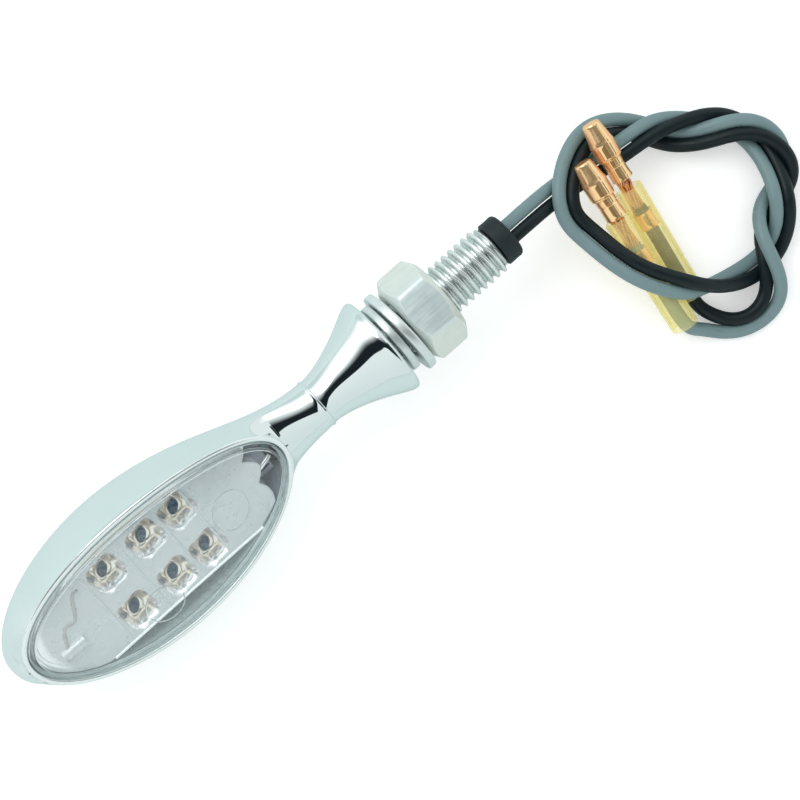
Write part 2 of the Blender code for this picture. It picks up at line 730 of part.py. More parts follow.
def make_stud(material, axis):
    """Hollow stud: plain spigot in the housing, then a full thread to a chamfered end."""
    def radius_at(x, height):
        radius = THREAD_MINOR_RADIUS + height * (THREAD_MAJOR_RADIUS - THREAD_MINOR_RADIUS)
        chamfer = THREAD_MINOR_RADIUS - STUD_CHAMFER + (STUD_END_X - x)
        return min(radius, chamfer)

    def end_radius(x):
        return THREAD_MINOR_RADIUS if x < STUD_END_X else THREAD_MINOR_RADIUS - STUD_CHAMFER

    columns = thread_columns(THREAD_START_X, STUD_END_X, STUD_COLUMNS, radius_at, end_radius)
    rings = thread_rings(columns)
    count = STUD_COLUMNS
    points = [point for ring in rings for point in ring]
    faces = helical_faces(0, len(rings), count)
    spigot = rod_rings([(STUD_SPIGOT_X, THREAD_MINOR_RADIUS, THREAD_MINOR_RADIUS),
                        (STUD_SPIGOT_X, STUD_BORE_RADIUS, STUD_BORE_RADIUS),
                        (STUD_END_X, STUD_BORE_RADIUS, STUD_BORE_RADIUS)], count)
    first_spigot = len(points)
    for ring in spigot:
        points += ring
    faces += ring_faces(0, first_spigot, count)
    faces += ring_faces(first_spigot, first_spigot + count, count)
    faces += ring_faces(first_spigot + count, first_spigot + 2 * count, count)
    faces += ring_faces(first_spigot + 2 * count, (len(rings) - 1) * count, count)
    return add_object("stud", points, faces, material, axis, smooth_angle=50.0)


def hexagon_radius(angle):
    within = (angle % (math.pi / 3.0)) - math.pi / 6.0
    return NUT_ACROSS_FLATS / 2.0 / math.cos(within)


def make_hex_nut(material, axis):
    """Hexagon nut with both ends chamfered and a thread that clears the stud's."""
    start, end = NUT_START_X, NUT_START_X + NUT_HEIGHT
    minor = THREAD_MINOR_RADIUS + THREAD_FIT
    major = THREAD_MAJOR_RADIUS + THREAD_FIT
    mouth = major + COUNTERSINK
    face_radius = NUT_ACROSS_FLATS / 2.0 * NUT_FACE_SHARE

    def radius_at(x, height):
        countersink = mouth - min(x - start, end - x)
        return max(minor + height * (major - minor), countersink)

    columns = thread_columns(start, end, NUT_COLUMNS, radius_at, lambda x: mouth, NUT_TURN)
    rings = thread_rings(columns)
    count = NUT_COLUMNS
    points = [point for ring in rings for point in ring]
    faces = helical_faces(0, len(rings), count)
    outer_first = len(points)
    for x, side in ((start, 1.0), (end, -1.0)):
        face_ring, corner_ring = [], []
        for k in range(count):
            angle = math.tau * k / count
            corner = hexagon_radius(angle)
            drop = (corner - face_radius) * math.tan(NUT_CHAMFER)
            face_ring.append((x, face_radius * math.cos(angle), face_radius * math.sin(angle)))
            corner_ring.append((x + side * drop, corner * math.cos(angle),
                                corner * math.sin(angle)))
        points += face_ring + corner_ring
    faces += ring_faces(0, outer_first, count)
    faces += ring_faces(outer_first, outer_first + count, count)
    faces += ring_faces(outer_first + count, outer_first + 3 * count, count)
    faces += ring_faces(outer_first + 3 * count, outer_first + 2 * count, count)
    faces += ring_faces(outer_first + 2 * count, (len(rings) - 1) * count, count)
    nut = add_object("hex_nut", points, faces, material, axis, smooth_angle=25.0)
    nut.rotation_euler = (NUT_TURN, 0.0, 0.0)
    return nut


def make_lock_washer(material, axis):
    """Split spring washer whose two ends stand apart along the axis."""
    inner, outer = LOCK_WASHER_RADII
    rings = []
    for k in range(LOCK_WASHER_STEPS + 1):
        share = k / LOCK_WASHER_STEPS
        angle = LOCK_WASHER_GAP_ANGLE + LOCK_WASHER_GAP / 2.0
        angle += (math.tau - LOCK_WASHER_GAP) * share
        lift = LOCK_WASHER_LIFT * (2.0 * share - 1.0)
        rings.append([(x + lift, radius * math.cos(angle), radius * math.sin(angle))
                      for x, radius in ((LOCK_WASHER_X[0], inner), (LOCK_WASHER_X[0], outer),
                                        (LOCK_WASHER_X[1], outer), (LOCK_WASHER_X[1], inner))])
    return add_object("lock_washer", *loft(rings), material, axis)


def make_flat_washer(material, axis):
    inner, outer = FLAT_WASHER_RADII
    start, end = FLAT_WASHER_X
    back_edge, front_edge = FLAT_WASHER_EDGES
    outline = ((start, inner), (start, outer - back_edge), (start + back_edge, outer),
               (end - front_edge, outer), (end, outer - front_edge), (end, inner))
    return add_object("flat_washer", *turned(outline, 32), material, axis, smooth_angle=50.0)


def make_grommet(material, axis):
    """Rubber end cap with one hole for each cable."""
    start, end = GROMMET_X
    stations = [(start, GROMMET_RADIUS, GROMMET_RADIUS)]
    for back, drop in GROMMET_BEVELS:
        stations.append((end - back, GROMMET_RADIUS - drop, GROMMET_RADIUS - drop))
    rings = rod_rings(stations, 24)
    grommet = add_object("grommet", *loft(rings), material, axis)
    for name, y in (("grey", PAIR_OFFSET), ("black", -PAIR_OFFSET)):
        hole = rod_rings([(x, CABLE_HOLE_RADIUS, CABLE_HOLE_RADIUS)
                          for x in (start - 1.0, end + 1.0)], HOLE_SIDES, y=y)
        cut(grommet, add_object("cut_grommet_" + name, *loft(hole), material, axis))
    return grommet


# ---------------------------------------------------------------- cables and terminals

def spline(controls, steps):
    """Catmull-Rom curve through equal-length tuples, with the given steps per span."""
    result = []
    last = len(controls) - 1
    for k in range(last):
        p0, p1 = controls[max(k - 1, 0)], controls[k]
        p2, p3 = controls[k + 1], controls[min(k + 2, last)]
        for step in range(steps):
            result.append(blend_points(p0, p1, p2, p3, step / steps))
    result.append(tuple(controls[last]))
    return result


def blend_points(p0, p1, p2, p3, u):
    return tuple(
        0.5 * (2.0 * b + (c - a) * u + (2.0 * a - 5.0 * b + 4.0 * c - d) * u * u
               + (3.0 * b - a - 3.0 * c + d) * u ** 3)
        for a, b, c, d in zip(p0, p1, p2, p3)
    )


def pair_paths():
    """Centre lines of both cables where they run side by side, from the twisting pair."""
    straight = [(x, 0.0, 0.0, HEAD_ROLL * share) for x, share in CABLE_STRAIGHT]
    route = [(x, y, z, math.radians(turn)) for x, y, z, turn in PAIR_ROUTE]
    middle = straight[:-2] + spline(straight[-2:] + route, ROUTE_STEPS)
    grey, black = [], []
    for k, (x, y, z, turn) in enumerate(middle):
        before, after = middle[max(k - 1, 0)], middle[min(k + 1, len(middle) - 1)]
        along = (Vector(after[:3]) - Vector(before[:3])).normalized()
        across = Vector((0.0, 0.0, 1.0)).cross(along).normalized()
        above = along.cross(across)
        offset = (across * math.cos(turn) + above * math.sin(turn)) * PAIR_OFFSET
        grey.append(Vector((x, y, z)) + offset)
        black.append(Vector((x, y, z)) - offset)
    return grey, black


def connector_axis(tip, end):
    """Unit vector from the terminal's tip to the far end of its sleeve."""
    return (Vector(end) - Vector(tip)).normalized()


def cable_path(pair_path, tail, tip, end):
    """Whole centre line: the pair, the cable's own tail, then straight up its sleeve."""
    axis = connector_axis(tip, end)
    sleeve_points = [Vector(end) - axis * back for back in SLEEVE_CABLE_BACK]
    controls = [tuple(point) for point in pair_path[-2:]] + list(tail)
    controls += [tuple(point) for point in sleeve_points]
    curve = spline(controls, ROUTE_STEPS)[ROUTE_STEPS:]
    insulation_end = Vector(tip) + axis * INSULATION_START
    return pair_path[:-1] + [Vector(point) for point in curve] + [insulation_end]


def sweep(path, radius, segments):
    """Round bar along a path, with rings turned as little as possible from one to the next."""
    rings = []
    side = Vector((0.0, 1.0, 0.0))
    for k, point in enumerate(path):
        before, after = path[max(k - 1, 0)], path[min(k + 1, len(path) - 1)]
        along = (after - before).normalized()
        side = (side - along * side.dot(along)).normalized()
        other = along.cross(side)
        rings.append([point + (side * math.cos(math.tau * j / segments)
                               + other * math.sin(math.tau * j / segments)) * radius
                      for j in range(segments)])
    return loft(rings)


def make_terminal(name, material, frame):
    """Bullet with a neck and a crimp barrel, and a strip that carries the rear crimp band."""
    bore = [(TERMINAL_PROFILE[-1][0], BARREL_BORE_RADIUS), (BARREL_BORE_START, BARREL_BORE_RADIUS),
            (BARREL_BORE_START, TINY), (0.0, TINY)]
    terminal = add_object(name, *turned(list(TERMINAL_PROFILE) + bore, 20), material, frame)
    low = (STRIP_START, -STRIP_HALF_WIDTH, -CRIMP_RADII[1] + 0.02)
    high = (CRIMP_SPAN[1] - 0.1, STRIP_HALF_WIDTH, -CRIMP_RADII[0] - 0.05)
    strip = add_object("add_strip_" + name, *box(low, high), material, frame)
    cut(terminal, strip, "UNION")
    band_profile = tube_profile(*CRIMP_SPAN, *CRIMP_RADII)
    band = add_object("add_band_" + name, *turned(band_profile, 20), material, frame)
    cut(terminal, band, "UNION")
    return terminal


def make_connector(colour, tip, end, metals, sleeve_start, axis):
    """Terminal, bare conductor and sleeve on their own axis, which starts at the tip."""
    brass, copper, plastic = metals
    turn = connector_axis(tip, end).to_track_quat("X", "Z")
    frame = add_empty("axis_" + colour, tip, turn, axis)
    make_terminal("terminal_" + colour, brass, frame)
    conductor = rod_rings([(CONDUCTOR_SPAN[0], CONDUCTOR_RADIUS, CONDUCTOR_RADIUS),
                           (CONDUCTOR_SPAN[1], CONDUCTOR_RADIUS, CONDUCTOR_RADIUS)], 12)
    add_object("conductor_" + colour, *loft(conductor), copper, frame)
    profile = tube_profile(0.0, SLEEVE_LENGTH, *SLEEVE_RADII)
    sleeve = add_object("sleeve_" + colour, *turned(profile, 24), plastic, frame)
    sleeve.location = (sleeve_start * MM, 0.0, 0.0)


def make_cables(grey_material, black_material, axis):
    grey_pair, black_pair = pair_paths()
    grey = cable_path(grey_pair, GREY_TAIL, GREY_TIP, GREY_END)
    black = cable_path(black_pair, BLACK_TAIL, BLACK_TIP, BLACK_END)
    add_object("cable_grey", *sweep(grey, CABLE_RADIUS, CABLE_SIDES), grey_material, axis)
    add_object("cable_black", *sweep(black, CABLE_RADIUS, CABLE_SIDES), black_material, axis)


# ---------------------------------------------------------------- assembly

def main():
    clear_scene()
    chrome = finish_material("chrome", (0.80, 0.86, 0.86), 0.06, 1.0)
    clear = finish_material("clear_lens", (0.90, 0.93, 0.93), 0.05, 0.0, 0.9)
    rubber = finish_material("rubber", (0.022, 0.040, 0.044), 0.55, 0.0)
    plated = finish_material("plated_reflector", (0.75, 0.76, 0.76), 0.12, 1.0)
    board = finish_material("circuit_board", (0.55, 0.58, 0.52), 0.5, 0.0)
    lamp = finish_material("led_resin", (0.85, 0.80, 0.66), 0.1, 0.0, 0.5)
    chip = finish_material("chip_black", (0.03, 0.03, 0.03), 0.45, 0.0)
    solder = finish_material("solder", (0.62, 0.62, 0.60), 0.25, 1.0)
    resin = finish_material("potting_resin", (0.70, 0.72, 0.72), 0.4, 0.0)
    zinc = finish_material("zinc_plate", (0.70, 0.73, 0.71), 0.28, 1.0)
    grey = finish_material("grey_insulation", (0.19, 0.28, 0.30), 0.45, 0.0)
    black = finish_material("black_insulation", (0.026, 0.045, 0.048), 0.4, 0.0)
    copper = finish_material("copper", (0.72, 0.35, 0.22), 0.3, 1.0)
    brass = finish_material("brass", (0.83, 0.58, 0.30), 0.2, 1.0)
    sleeve = finish_material("sleeve_vinyl", (0.75, 0.68, 0.28), 0.3, 0.0, 0.6)

    roll = Matrix.Rotation(HEAD_ROLL, 3, "X").to_quaternion()
    axis = add_empty("stud_axis", MOUNTING_FACE_CENTRE, (1.0, 0.0, 0.0, 0.0))
    head = add_empty("head_axis", (0.0, 0.0, 0.0), roll, axis)
    make_housing(chrome, head)
    make_lens(clear, head)
    make_lens_seal(rubber, head)
    make_circuit_board(board, head)
    make_reflector(plated, head)
    for number, (x, y) in enumerate(lamp_places(), 1):
        make_lamp(number, x, y, lamp, head)
    make_board_parts(chip, solder, head)
    make_potting_plug(resin, head)
    make_stud(zinc, axis)
    make_hex_nut(zinc, axis)
    make_lock_washer(zinc, axis)
    make_flat_washer(zinc, axis)
    make_grommet(rubber, axis)
    make_cables(grey, black, axis)
    metals = (brass, copper, sleeve)
    make_connector("grey", GREY_TIP, GREY_END, metals, GREY_SLEEVE_START, axis)
    make_connector("black", BLACK_TIP, BLACK_END, metals, BLACK_SLEEVE_START, axis)


main()
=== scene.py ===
import json
import math
import random

import bmesh
import bpy
from mathutils import Matrix, Vector


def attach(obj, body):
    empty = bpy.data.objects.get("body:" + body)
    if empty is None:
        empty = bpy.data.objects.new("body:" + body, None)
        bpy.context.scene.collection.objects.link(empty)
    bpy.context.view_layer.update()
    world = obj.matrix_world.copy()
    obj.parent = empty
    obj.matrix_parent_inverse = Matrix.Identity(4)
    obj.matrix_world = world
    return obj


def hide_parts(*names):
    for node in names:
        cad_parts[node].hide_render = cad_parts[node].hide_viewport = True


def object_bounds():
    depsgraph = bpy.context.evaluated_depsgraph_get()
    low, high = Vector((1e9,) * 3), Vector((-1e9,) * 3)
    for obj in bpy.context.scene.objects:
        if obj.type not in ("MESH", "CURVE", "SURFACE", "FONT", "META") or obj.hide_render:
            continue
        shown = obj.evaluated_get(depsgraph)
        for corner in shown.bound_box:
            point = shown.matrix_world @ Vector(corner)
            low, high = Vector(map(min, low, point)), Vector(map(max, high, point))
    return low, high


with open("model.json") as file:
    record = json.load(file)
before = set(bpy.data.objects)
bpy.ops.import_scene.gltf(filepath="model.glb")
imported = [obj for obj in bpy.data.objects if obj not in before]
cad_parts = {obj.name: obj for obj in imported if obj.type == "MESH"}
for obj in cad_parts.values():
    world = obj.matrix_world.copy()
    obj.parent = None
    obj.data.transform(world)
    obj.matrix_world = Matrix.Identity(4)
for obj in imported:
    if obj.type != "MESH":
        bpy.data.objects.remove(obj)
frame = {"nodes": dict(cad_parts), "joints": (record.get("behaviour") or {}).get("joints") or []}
CAD_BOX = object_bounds()

# Head and stud shapes are drawn in millimetres from the centre of the housing's mounting face,
# with +X along the stud and the lens towards +Z. Making the mesh scales them to metres.
MM = 0.001
TINY = 0.0001

# Distances in metres within which points count as one, as one ring or as one end face
SAME_POINT = 0.000002
SAME_RING = 0.00001
SAME_END = 0.00002

# Edges turning by more than these angles, in degrees, are shaded sharp
SHARP_ANGLE = 40.0
CAD_SHARP_ANGLE = 35.0

CURVE_STEPS = 5

# ---------------------------------------------------------------- shape of the lamp head (mm)
HEAD_ROLL = math.radians(35.0)
NOSE_X = -70.9
HEAD_WIDEST_X = -47.0
HEAD_HALF_WIDTH = 11.8
HEAD_BACK_DEPTH = 6.1
HEAD_CENTRE_DROP = 2.0
NOSE_CENTRE_RISE = 1.0
HEAD_SQUARENESS = 2.05
ROUND_SQUARENESS = 2.0
SQUARENESS_SPAN = (-50.0, -18.0)
CENTRE_RISE_SPAN = (-50.0, -14.0)
WIDTH_HANDLES = ((-30.0, HEAD_HALF_WIDTH), (-24.0, 4.3))
DEPTH_HANDLES = ((-40.0, HEAD_BACK_DEPTH), (-27.0, 4.3))
NOSE_DEPTH_POWER = 1.3
NECK_X = -13.5
NECK_RADIUS = 3.9
TRUMPET_PROFILE = (
    (-13.3, 3.98), (-13.15, 4.08), (-12.95, 4.05), (-12.8, 3.86), (-12.5, 3.82), (-11.5, 3.93),
    (-10.5, 4.12), (-9.6, 4.35), (-8.6, 4.64), (-7.6, 4.98), (-6.7, 5.32), (-5.8, 5.69),
    (-5.0, 6.05), (-4.2, 6.43), (-3.5, 6.78), (-2.8, 7.14), (-2.2, 7.44), (-1.7, 7.67),
    (-1.3, 7.83), (-0.95, 7.93), (-0.65, 7.96), (-0.4, 7.91), (-0.2, 7.79), (-0.06, 7.62),
    (0.0, 7.4),
)
RIM_WIDEST_X = -46.0
RIM_NOSE_LENGTH = 23.1
RIM_NECK_LENGTH = 25.4
RIM_HALF_WIDTH = 11.5
RIM_PEAK_X = -42.0
RIM_PEAK_Z = 5.5
RIM_END_DROP = 2.5
FLANGE_RING_RADIUS = 6.95
FLANGE_RECESS = 0.3
FLANGE_RECESS_TAPER = 0.02
LIP_WIDTH = 0.8
LIP_OUTER_DROP = 0.16
LIP_LARGEST_TURN = 0.3
LIP_PROFILE = (
    (0.03, -0.13), (0.1, -0.05), (0.22, 0.0), (0.4, 0.02), (0.58, 0.0), (0.7, -0.05),
    (0.77, -0.13), (0.8, -0.25),
)
LEDGE_DEPTH = 1.9
LEDGE_WIDTH = 0.8
CAVITY_FLOOR_Z = -7.0
CAVITY_END_DEPTH = 0.6
CAVITY_SQUARENESS = 3.0
PASSAGE_X = (-26.0, -17.0)
PASSAGE_RADIUS = 2.35
PASSAGE_HALF_HEIGHT = 1.25
THROAT_START_X = -17.6
THROAT_OVERLAP = 0.5
SOCKET_DEPTH = 8.3
SOCKET_RADIUS = 3.6
TOP_STEPS = 14
BACK_STEPS = 24
WALL_STEPS = 14
RIM_STATIONS = 120
END_STEPS = 14

# Lens: a flat edge strip, a rounded step and then a crowned middle
LENS_INSET = 1.05
LENS_EDGE = 1.0
LENS_CROWN = 2.2
LENS_EDGE_PROFILE = ((0.0, -0.2), (0.04, -0.06), (0.15, 0.0))
LENS_STRIP = 0.75
LENS_STRIP_RISE = 0.05
LENS_STEP = 0.3
LENS_STEP_WIDTH = 0.25
CROWN_INSET = LENS_INSET + LENS_STRIP + LENS_STEP_WIDTH
CROWN_BASE = LENS_STRIP_RISE + LENS_STEP
CROWN_RINGS = 22
LENS_COUNT = 160
LENS_RINGS = ((-32.6, 0.4), (-48.3, -3.6))
LENS_RING_RADIUS = 3.0
LENS_RING_BEAD = 0.11
LENS_RING_LIFT = 0.02
FROST_CENTRE_X = -44.6
FROST_REACH = (23.9, 11.26)
FROST_START = (0.80, 0.86)

# Reflector and lamps (mm)
TRAY_INSET = 1.8
TRAY_HALF_WIDTH = 7.6
TRAY_END_X = -27.0
TRAY_LOBES = (1.7, 0.7)
TRAY_LOBE_SPLIT_Y = -1.5
TRAY_LOBE_WIDTH = 4.5
TRAY_BASE_Z = -0.6
TRAY_TOP_Z = 3.0
TRAY_LENS_GAP = 0.6
TRAY_ROUNDING = 0.4
TRAY_TOP_RINGS = 15
TRAY_TOP_STEP = 0.06
TRAY_TOP_LAST = 0.02
BOWL_PROFILE = ((0.9, 1.62), (1.0, 1.8), (1.3, 2.0), (1.8, 2.22), (2.3, 2.5), (2.8, 2.82),
                (3.05, 3.05), (3.4, 3.3))
BOWL_POINT = 0.12
RIB_STATIONS = (-54.9, -47.95, -41.2, -36.4)
RIB_REACH_Y = 6.6
RIB_SPAN_Z = (2.2, 3.28)
RIB_HALF_WIDTH = 0.2
BLOCK_X = (-63.9, -62.6, -61.3, -60.0)
BLOCK_Y = -1.7
BLOCK_RADIUS = 1.05
BLOCK_SINK = 0.2
WAVE_START = (-56.2, 5.4)
WAVE_RUN = (-7.0, -6.0)
WAVE_SWING = 0.8
WAVE_TURNS = 11.0
WAVE_RADIUS = 0.3
WAVE_SINK = 0.04
EDGE_SPAN = (-58.6, -30.6)
EDGE_INSET = 0.12
EDGE_RADIUS = 0.22
EDGE_SINK = 0.08
IMAGE_DOWN = math.radians(-126.0)
BOSS_ENDS = ((-27.2, -1.05, 1.7), (-23.3, 0.2, 1.7))
BOSS_RADIUS = 0.36
BOSS_END_SHARE = 0.8
BOSS_STATIONS = (0.0, 0.04, 0.96, 1.0)
BOARD_SOFTNESS = 0.08
CHIP_SOFTNESS = 0.12
LAMP_COLUMNS_X = (-38.3, -44.3, -51.6)
LAMP_ROW_Y = 4.1
LAMP_RADIUS = 1.5
LAMP_BASE_Z = -0.9
LAMP_TOP_Z = 2.3
LAMP_TIP_RADIUS = 0.06
LAMP_FOOT = ((0.0, 1.6), (0.04, 1.72), (0.1, 1.75), (0.42, 1.75), (0.48, 1.72), (0.5, 1.62),
             (0.55, 1.52), (0.62, LAMP_RADIUS))
LEAF_POINTEDNESS = 0.6
CUP_REACH = (1.46, 1.1)
CUP_HALF_WIDTH = 0.95
CUP_STATIONS = ((0.1, 0.3), (0.9, 0.4), (1.4, 0.95), (1.85, 1.0), (1.8, 0.9), (1.55, 0.5))
DIE_REACH = (0.95, 0.85)
DIE_HALF_WIDTH = 0.55
DIE_STATIONS = ((1.6, 0.9), (1.9, 1.0), (2.0, 0.86))

# Stud, nut and washers (mm)
STUD_END_X = 21.0
STUD_SPIGOT_X = -8.0
THREAD_START_X = 0.8
THREAD_PITCH = 1.25
THREAD_MAJOR_RADIUS = 3.96
THREAD_MINOR_RADIUS = 3.25
THREAD_FIT = 0.2
THREAD_STEPS = (
    (0.0, 0.0), (0.1, 0.0), (0.2, 0.06), (0.27, 0.22), (0.43, 0.8), (0.5, 0.96),
    (0.56, 1.0), (0.64, 1.0), (0.7, 0.96), (0.77, 0.8), (0.93, 0.2),
)
STUD_CHAMFER = 0.1
STUD_BORE_RADIUS = 2.35
STUD_BORE_CHAMFER = 0.2
STUD_COLUMNS = 96
NUT_START_X = 3.9
NUT_HEIGHT = 6.8
NUT_ACROSS_FLATS = 13.0
NUT_TURN = math.radians(2.8)
NUT_COLUMNS = 216
HEXAGON_POWER = 36
NUT_FACE_RADIUS = 5.7
NUT_CHAMFER = math.radians(34.0)
NUT_COUNTERSINK = 0.1
NUT_EDGE = (0.12, 0.03, 0.2)
NUT_SOFTNESS = 0.16
NUT_SOFT_SHARE = 0.45
LOCK_WASHER_X = (0.5, 1.7)
LOCK_WASHER_LIFT = 0.15
LOCK_WASHER_RADII = (4.2, 5.8)
LOCK_WASHER_SQUARENESS = 7.0
LOCK_WASHER_GAP = math.radians(16.0)
LOCK_WASHER_GAP_ANGLE = math.radians(-112.0)
FLAT_WASHER_X = (2.15, 3.5)
FLAT_WASHER_LEAN = math.radians(2.7)
FLAT_WASHER_DROP = -0.2
FLAT_WASHER_RADII = (4.25, 6.95)
FLAT_WASHER_ROUNDING = (0.2, 0.42)
WASHER_BORE_EASE = 0.08
GROMMET_X = (21.2, 24.0)
GROMMET_RADIUS = 3.6
GROMMET_MOUTHS = (2.4, 2.0)
GROMMET_FOOT = 0.25
GROMMET_CROWN = 0.7
GROMMET_TAPER = (1.2, 0.03)
GROMMET_SHOULDER = 0.05
PAIR_OFFSET = 1.05
CABLE_HOLE_RADIUS = 1.0

# Cables and connectors (mm); connector lengths run along its own axis from the terminal's tip
CABLE_RADII = (0.96, 1.035)
CABLE_GRIP_STATIONS = (20, 90)
CABLE_SIDES = 28
CABLE_STEPS = 4
SETTLE_ROUNDS = 10
SETTLE_PUSHES = (0.5, -0.48)
SETTLE_FIXED_ENDS = 3
TERMINAL_PROFILE = (
    (0.0, 0.75), (0.0, 1.18), (0.06, 1.29), (0.18, 1.36), (0.4, 1.41), (3.05, 1.86),
    (3.2, 1.92), (3.4, 1.95), (5.5, 1.95), (5.58, 1.86), (5.66, 1.9), (5.9, 1.9),
    (5.98, 1.74), (6.1, 1.58), (7.05, 1.56), (7.12, 1.46), (7.3, 1.46),
    (7.38, 1.54), (9.3, 1.56), (9.5, 1.58), (9.6, 1.56),
)
BARREL_BORE_RADIUS = 1.05
BARREL_BORE_START = 6.3
SEAM_DEPTH = 0.12
SEAM_ANGLE = math.radians(70.0)
SEAM_HALF_WIDTH = math.radians(3.0)
SEAM_FADE = (9.6, 9.2)
EAR_ANGLE = math.radians(20.0)
EAR_HEIGHT = 0.11
EAR_SPREAD = 0.42
EAR_SPAN = (8.2, 9.6)
EAR_LEAN = 0.12
STRIP_SPAN = (9.2, 15.6)
STRIP_RADII = (1.15, 1.4)
STRIP_HALF_ANGLE = math.radians(62.0)
STRIP_WAIST = 0.72
CRIMP_SPAN = (15.4, 18.0)
CRIMP_RADII = (1.1, 1.42)
CRIMP_GAP = math.radians(9.0)
CRIMP_BELL = 0.1
CONDUCTOR_SPAN = (7.0, 15.0)
STRAND_COUNT = 13
STRAND_RADIUS = 0.15
STRAND_SEED = 5
INNER_STRANDS = 5
STRAND_RING_RADII = (0.3, 0.56)
STRAND_TURNS = 2.2
BULGE_X = 10.4
BULGE_SPREAD = 0.7
SLEEVE_RADII = (1.8, 2.09)
SLEEVE_SEED = 11
SLEEVE_PINCHES = ((0.26, 0.05), (0.71, 0.06))
PINCH_SPREAD = 0.16
PINCH_LEAN = 0.25
SLEEVE_OVAL = 0.025
SLEEVE_END_FLATNESS = 0.9
SLEEVE_CUT = 0.28
SLEEVE_CUT_LENGTH = 4.0
SLEEVE_CUT_ANGLE = 0.6

# View and light. The studio's dark gap is given by two angles of a direction: alpha about the
# stud's cross axis, away from the camera towards the head, and beta towards the stud's +Y side.
GAP_ALPHA = (-0.58, -0.46, 1.12, 1.22)
GAP_BETA = (-0.14, -0.10, 0.18, 0.48)
GAP_RISE_ALPHA = (0.6, 1.2)
GAP_RISE = 0.3
GAP_SAG_ALPHA = (-0.35, 0.45)
GAP_SAG = 0.5
GAP_SQUEEZE = 0.5
HOOK_ALPHA = (-0.98, -0.86, -0.56, -0.46)
HOOK_BETA = (-0.95, -0.75, -0.12, 0.0)
PANEL_ALPHA = (-1.3, -0.9, 1.1, 1.4)
PANEL_BETA = (0.34, 0.52, 0.95, 1.25)
# Mirror directions in which the brass is painted dark brown: a painted reflection of the dark gap
MIRRORED_GAP_ALPHA = (-0.12, -0.04, 0.68, 0.76)
MIRRORED_GAP_BETA = (-0.74, -0.68, -0.40, -0.34)
KEY_ENERGY = 1.5
KEY_SIZE = 0.5
KEY_DISTANCE = 0.8
FLOOR_SIZE = 1.5
FLOOR_GAP = 0.0001
VIEW_TILT = math.radians(5.0)
VIEW_ROLL = math.radians(41.7)
TO_CAMERA = Vector((-math.sin(VIEW_TILT), 0.0, math.cos(VIEW_TILT)))
ALONG_STUD = Vector((math.cos(VIEW_TILT), 0.0, math.sin(VIEW_TILT)))
ACROSS_STUD = Vector((0.0, 1.0, 0.0))
VIEW_RIGHT = math.cos(VIEW_ROLL) * ALONG_STUD - math.sin(VIEW_ROLL) * ACROSS_STUD
VIEW_UP = math.sin(VIEW_ROLL) * ALONG_STUD + math.cos(VIEW_ROLL) * ACROSS_STUD
AIM_OFFSET = (2.23, -8.2)
CAMERA_DISTANCE = 500.0
CAMERA_LENS = 156.4
CAMERA_CLIP = (0.01, 20.0)


# ---------------------------------------------------------------- places taken from the frame

def joint(name):
    """The frame's joint of that name."""
    return next(item for item in frame["joints"] if item["name"] == name)


STUD_PLACE = Matrix.Translation(Vector(joint("nut_turn")["pos_m"]))
HEAD_PLACE = STUD_PLACE @ Matrix.Rotation(HEAD_ROLL, 4, "X")
NUT_PLACE = STUD_PLACE @ Matrix.Rotation(NUT_TURN, 4, "X")


def node_points(name):
    """Vertices of a CAD node, in metres."""
    return [vertex.co.copy() for vertex in frame["nodes"][name].data.vertices]


def connector_place(colour):
    """Matrix at the terminal's tip, with +X from the tip towards the cable."""
    along = -Vector(joint("sleeve_%s_slide" % colour)["axis"]).normalized()
    points = node_points("terminal_" + colour)
    nearest = min(point.dot(along) for point in points)
    tip_ring = [point for point in points if point.dot(along) < nearest + SAME_END]
    low = Vector([min(point[k] for point in tip_ring) for k in range(3)])
    high = Vector([max(point[k] for point in tip_ring) for k in range(3)])
    turn = along.to_track_quat("X", "Z").to_matrix().to_4x4()
    return Matrix.Translation((low + high) / 2.0) @ turn


def sleeve_span(colour, place):
    """Start and end of a CAD sleeve along its connector, in millimetres."""
    back = place.inverted()
    along = [(back @ point).x / MM for point in node_points("sleeve_" + colour)]
    return min(along), max(along)


def cable_rings(name):
    """Centres of the CAD cable's rings in millimetres, from the head end to the terminal."""
    mesh = frame["nodes"][name].data
    keys = {}
    owner = []
    for vertex in mesh.vertices:
        key = tuple(round(value / SAME_POINT) for value in vertex.co)
        owner.append(keys.setdefault(key, len(keys)))
    place = {owner[vertex.index]: vertex.co.copy() for vertex in mesh.vertices}
    near = {index: set() for index in place}
    for edge in mesh.edges:
        a, b = (owner[index] for index in edge.vertices)
        near[a].add(b)
        near[b].add(a)
    first_x = min(point.x for point in place.values())
    ring = {index for index, point in place.items() if point.x < first_x + SAME_RING}
    seen = set()
    centres = []
    while ring:
        centres.append(sum((place[index] for index in ring), Vector()) / len(ring) / MM)
        seen |= ring
        ring = {other for index in ring for other in near[index]} - seen
    return centres


# ---------------------------------------------------------------- meshes

def closed_normals(mesh, merge=False):
    """Turn a mesh's faces outwards, first joining points that fall together if asked."""
    work = bmesh.new()
    work.from_mesh(mesh)
    if merge:
        bmesh.ops.remove_doubles(work, verts=work.verts, dist=SAME_POINT)
        bmesh.ops.dissolve_degenerate(work, edges=work.edges, dist=SAME_POINT / 2.0)
    bmesh.ops.recalc_face_normals(work, faces=work.faces)
    work.to_mesh(mesh)
    work.free()


def new_object(name, points, faces):
    """Object in the scene from points in millimetres, and its mesh."""
    mesh = bpy.data.meshes.new(name)
    mesh.from_pydata([Vector(point) * MM for point in points], [], faces)
    item = bpy.data.objects.new(name, mesh)
    bpy.context.scene.collection.objects.link(item)
    return item, mesh


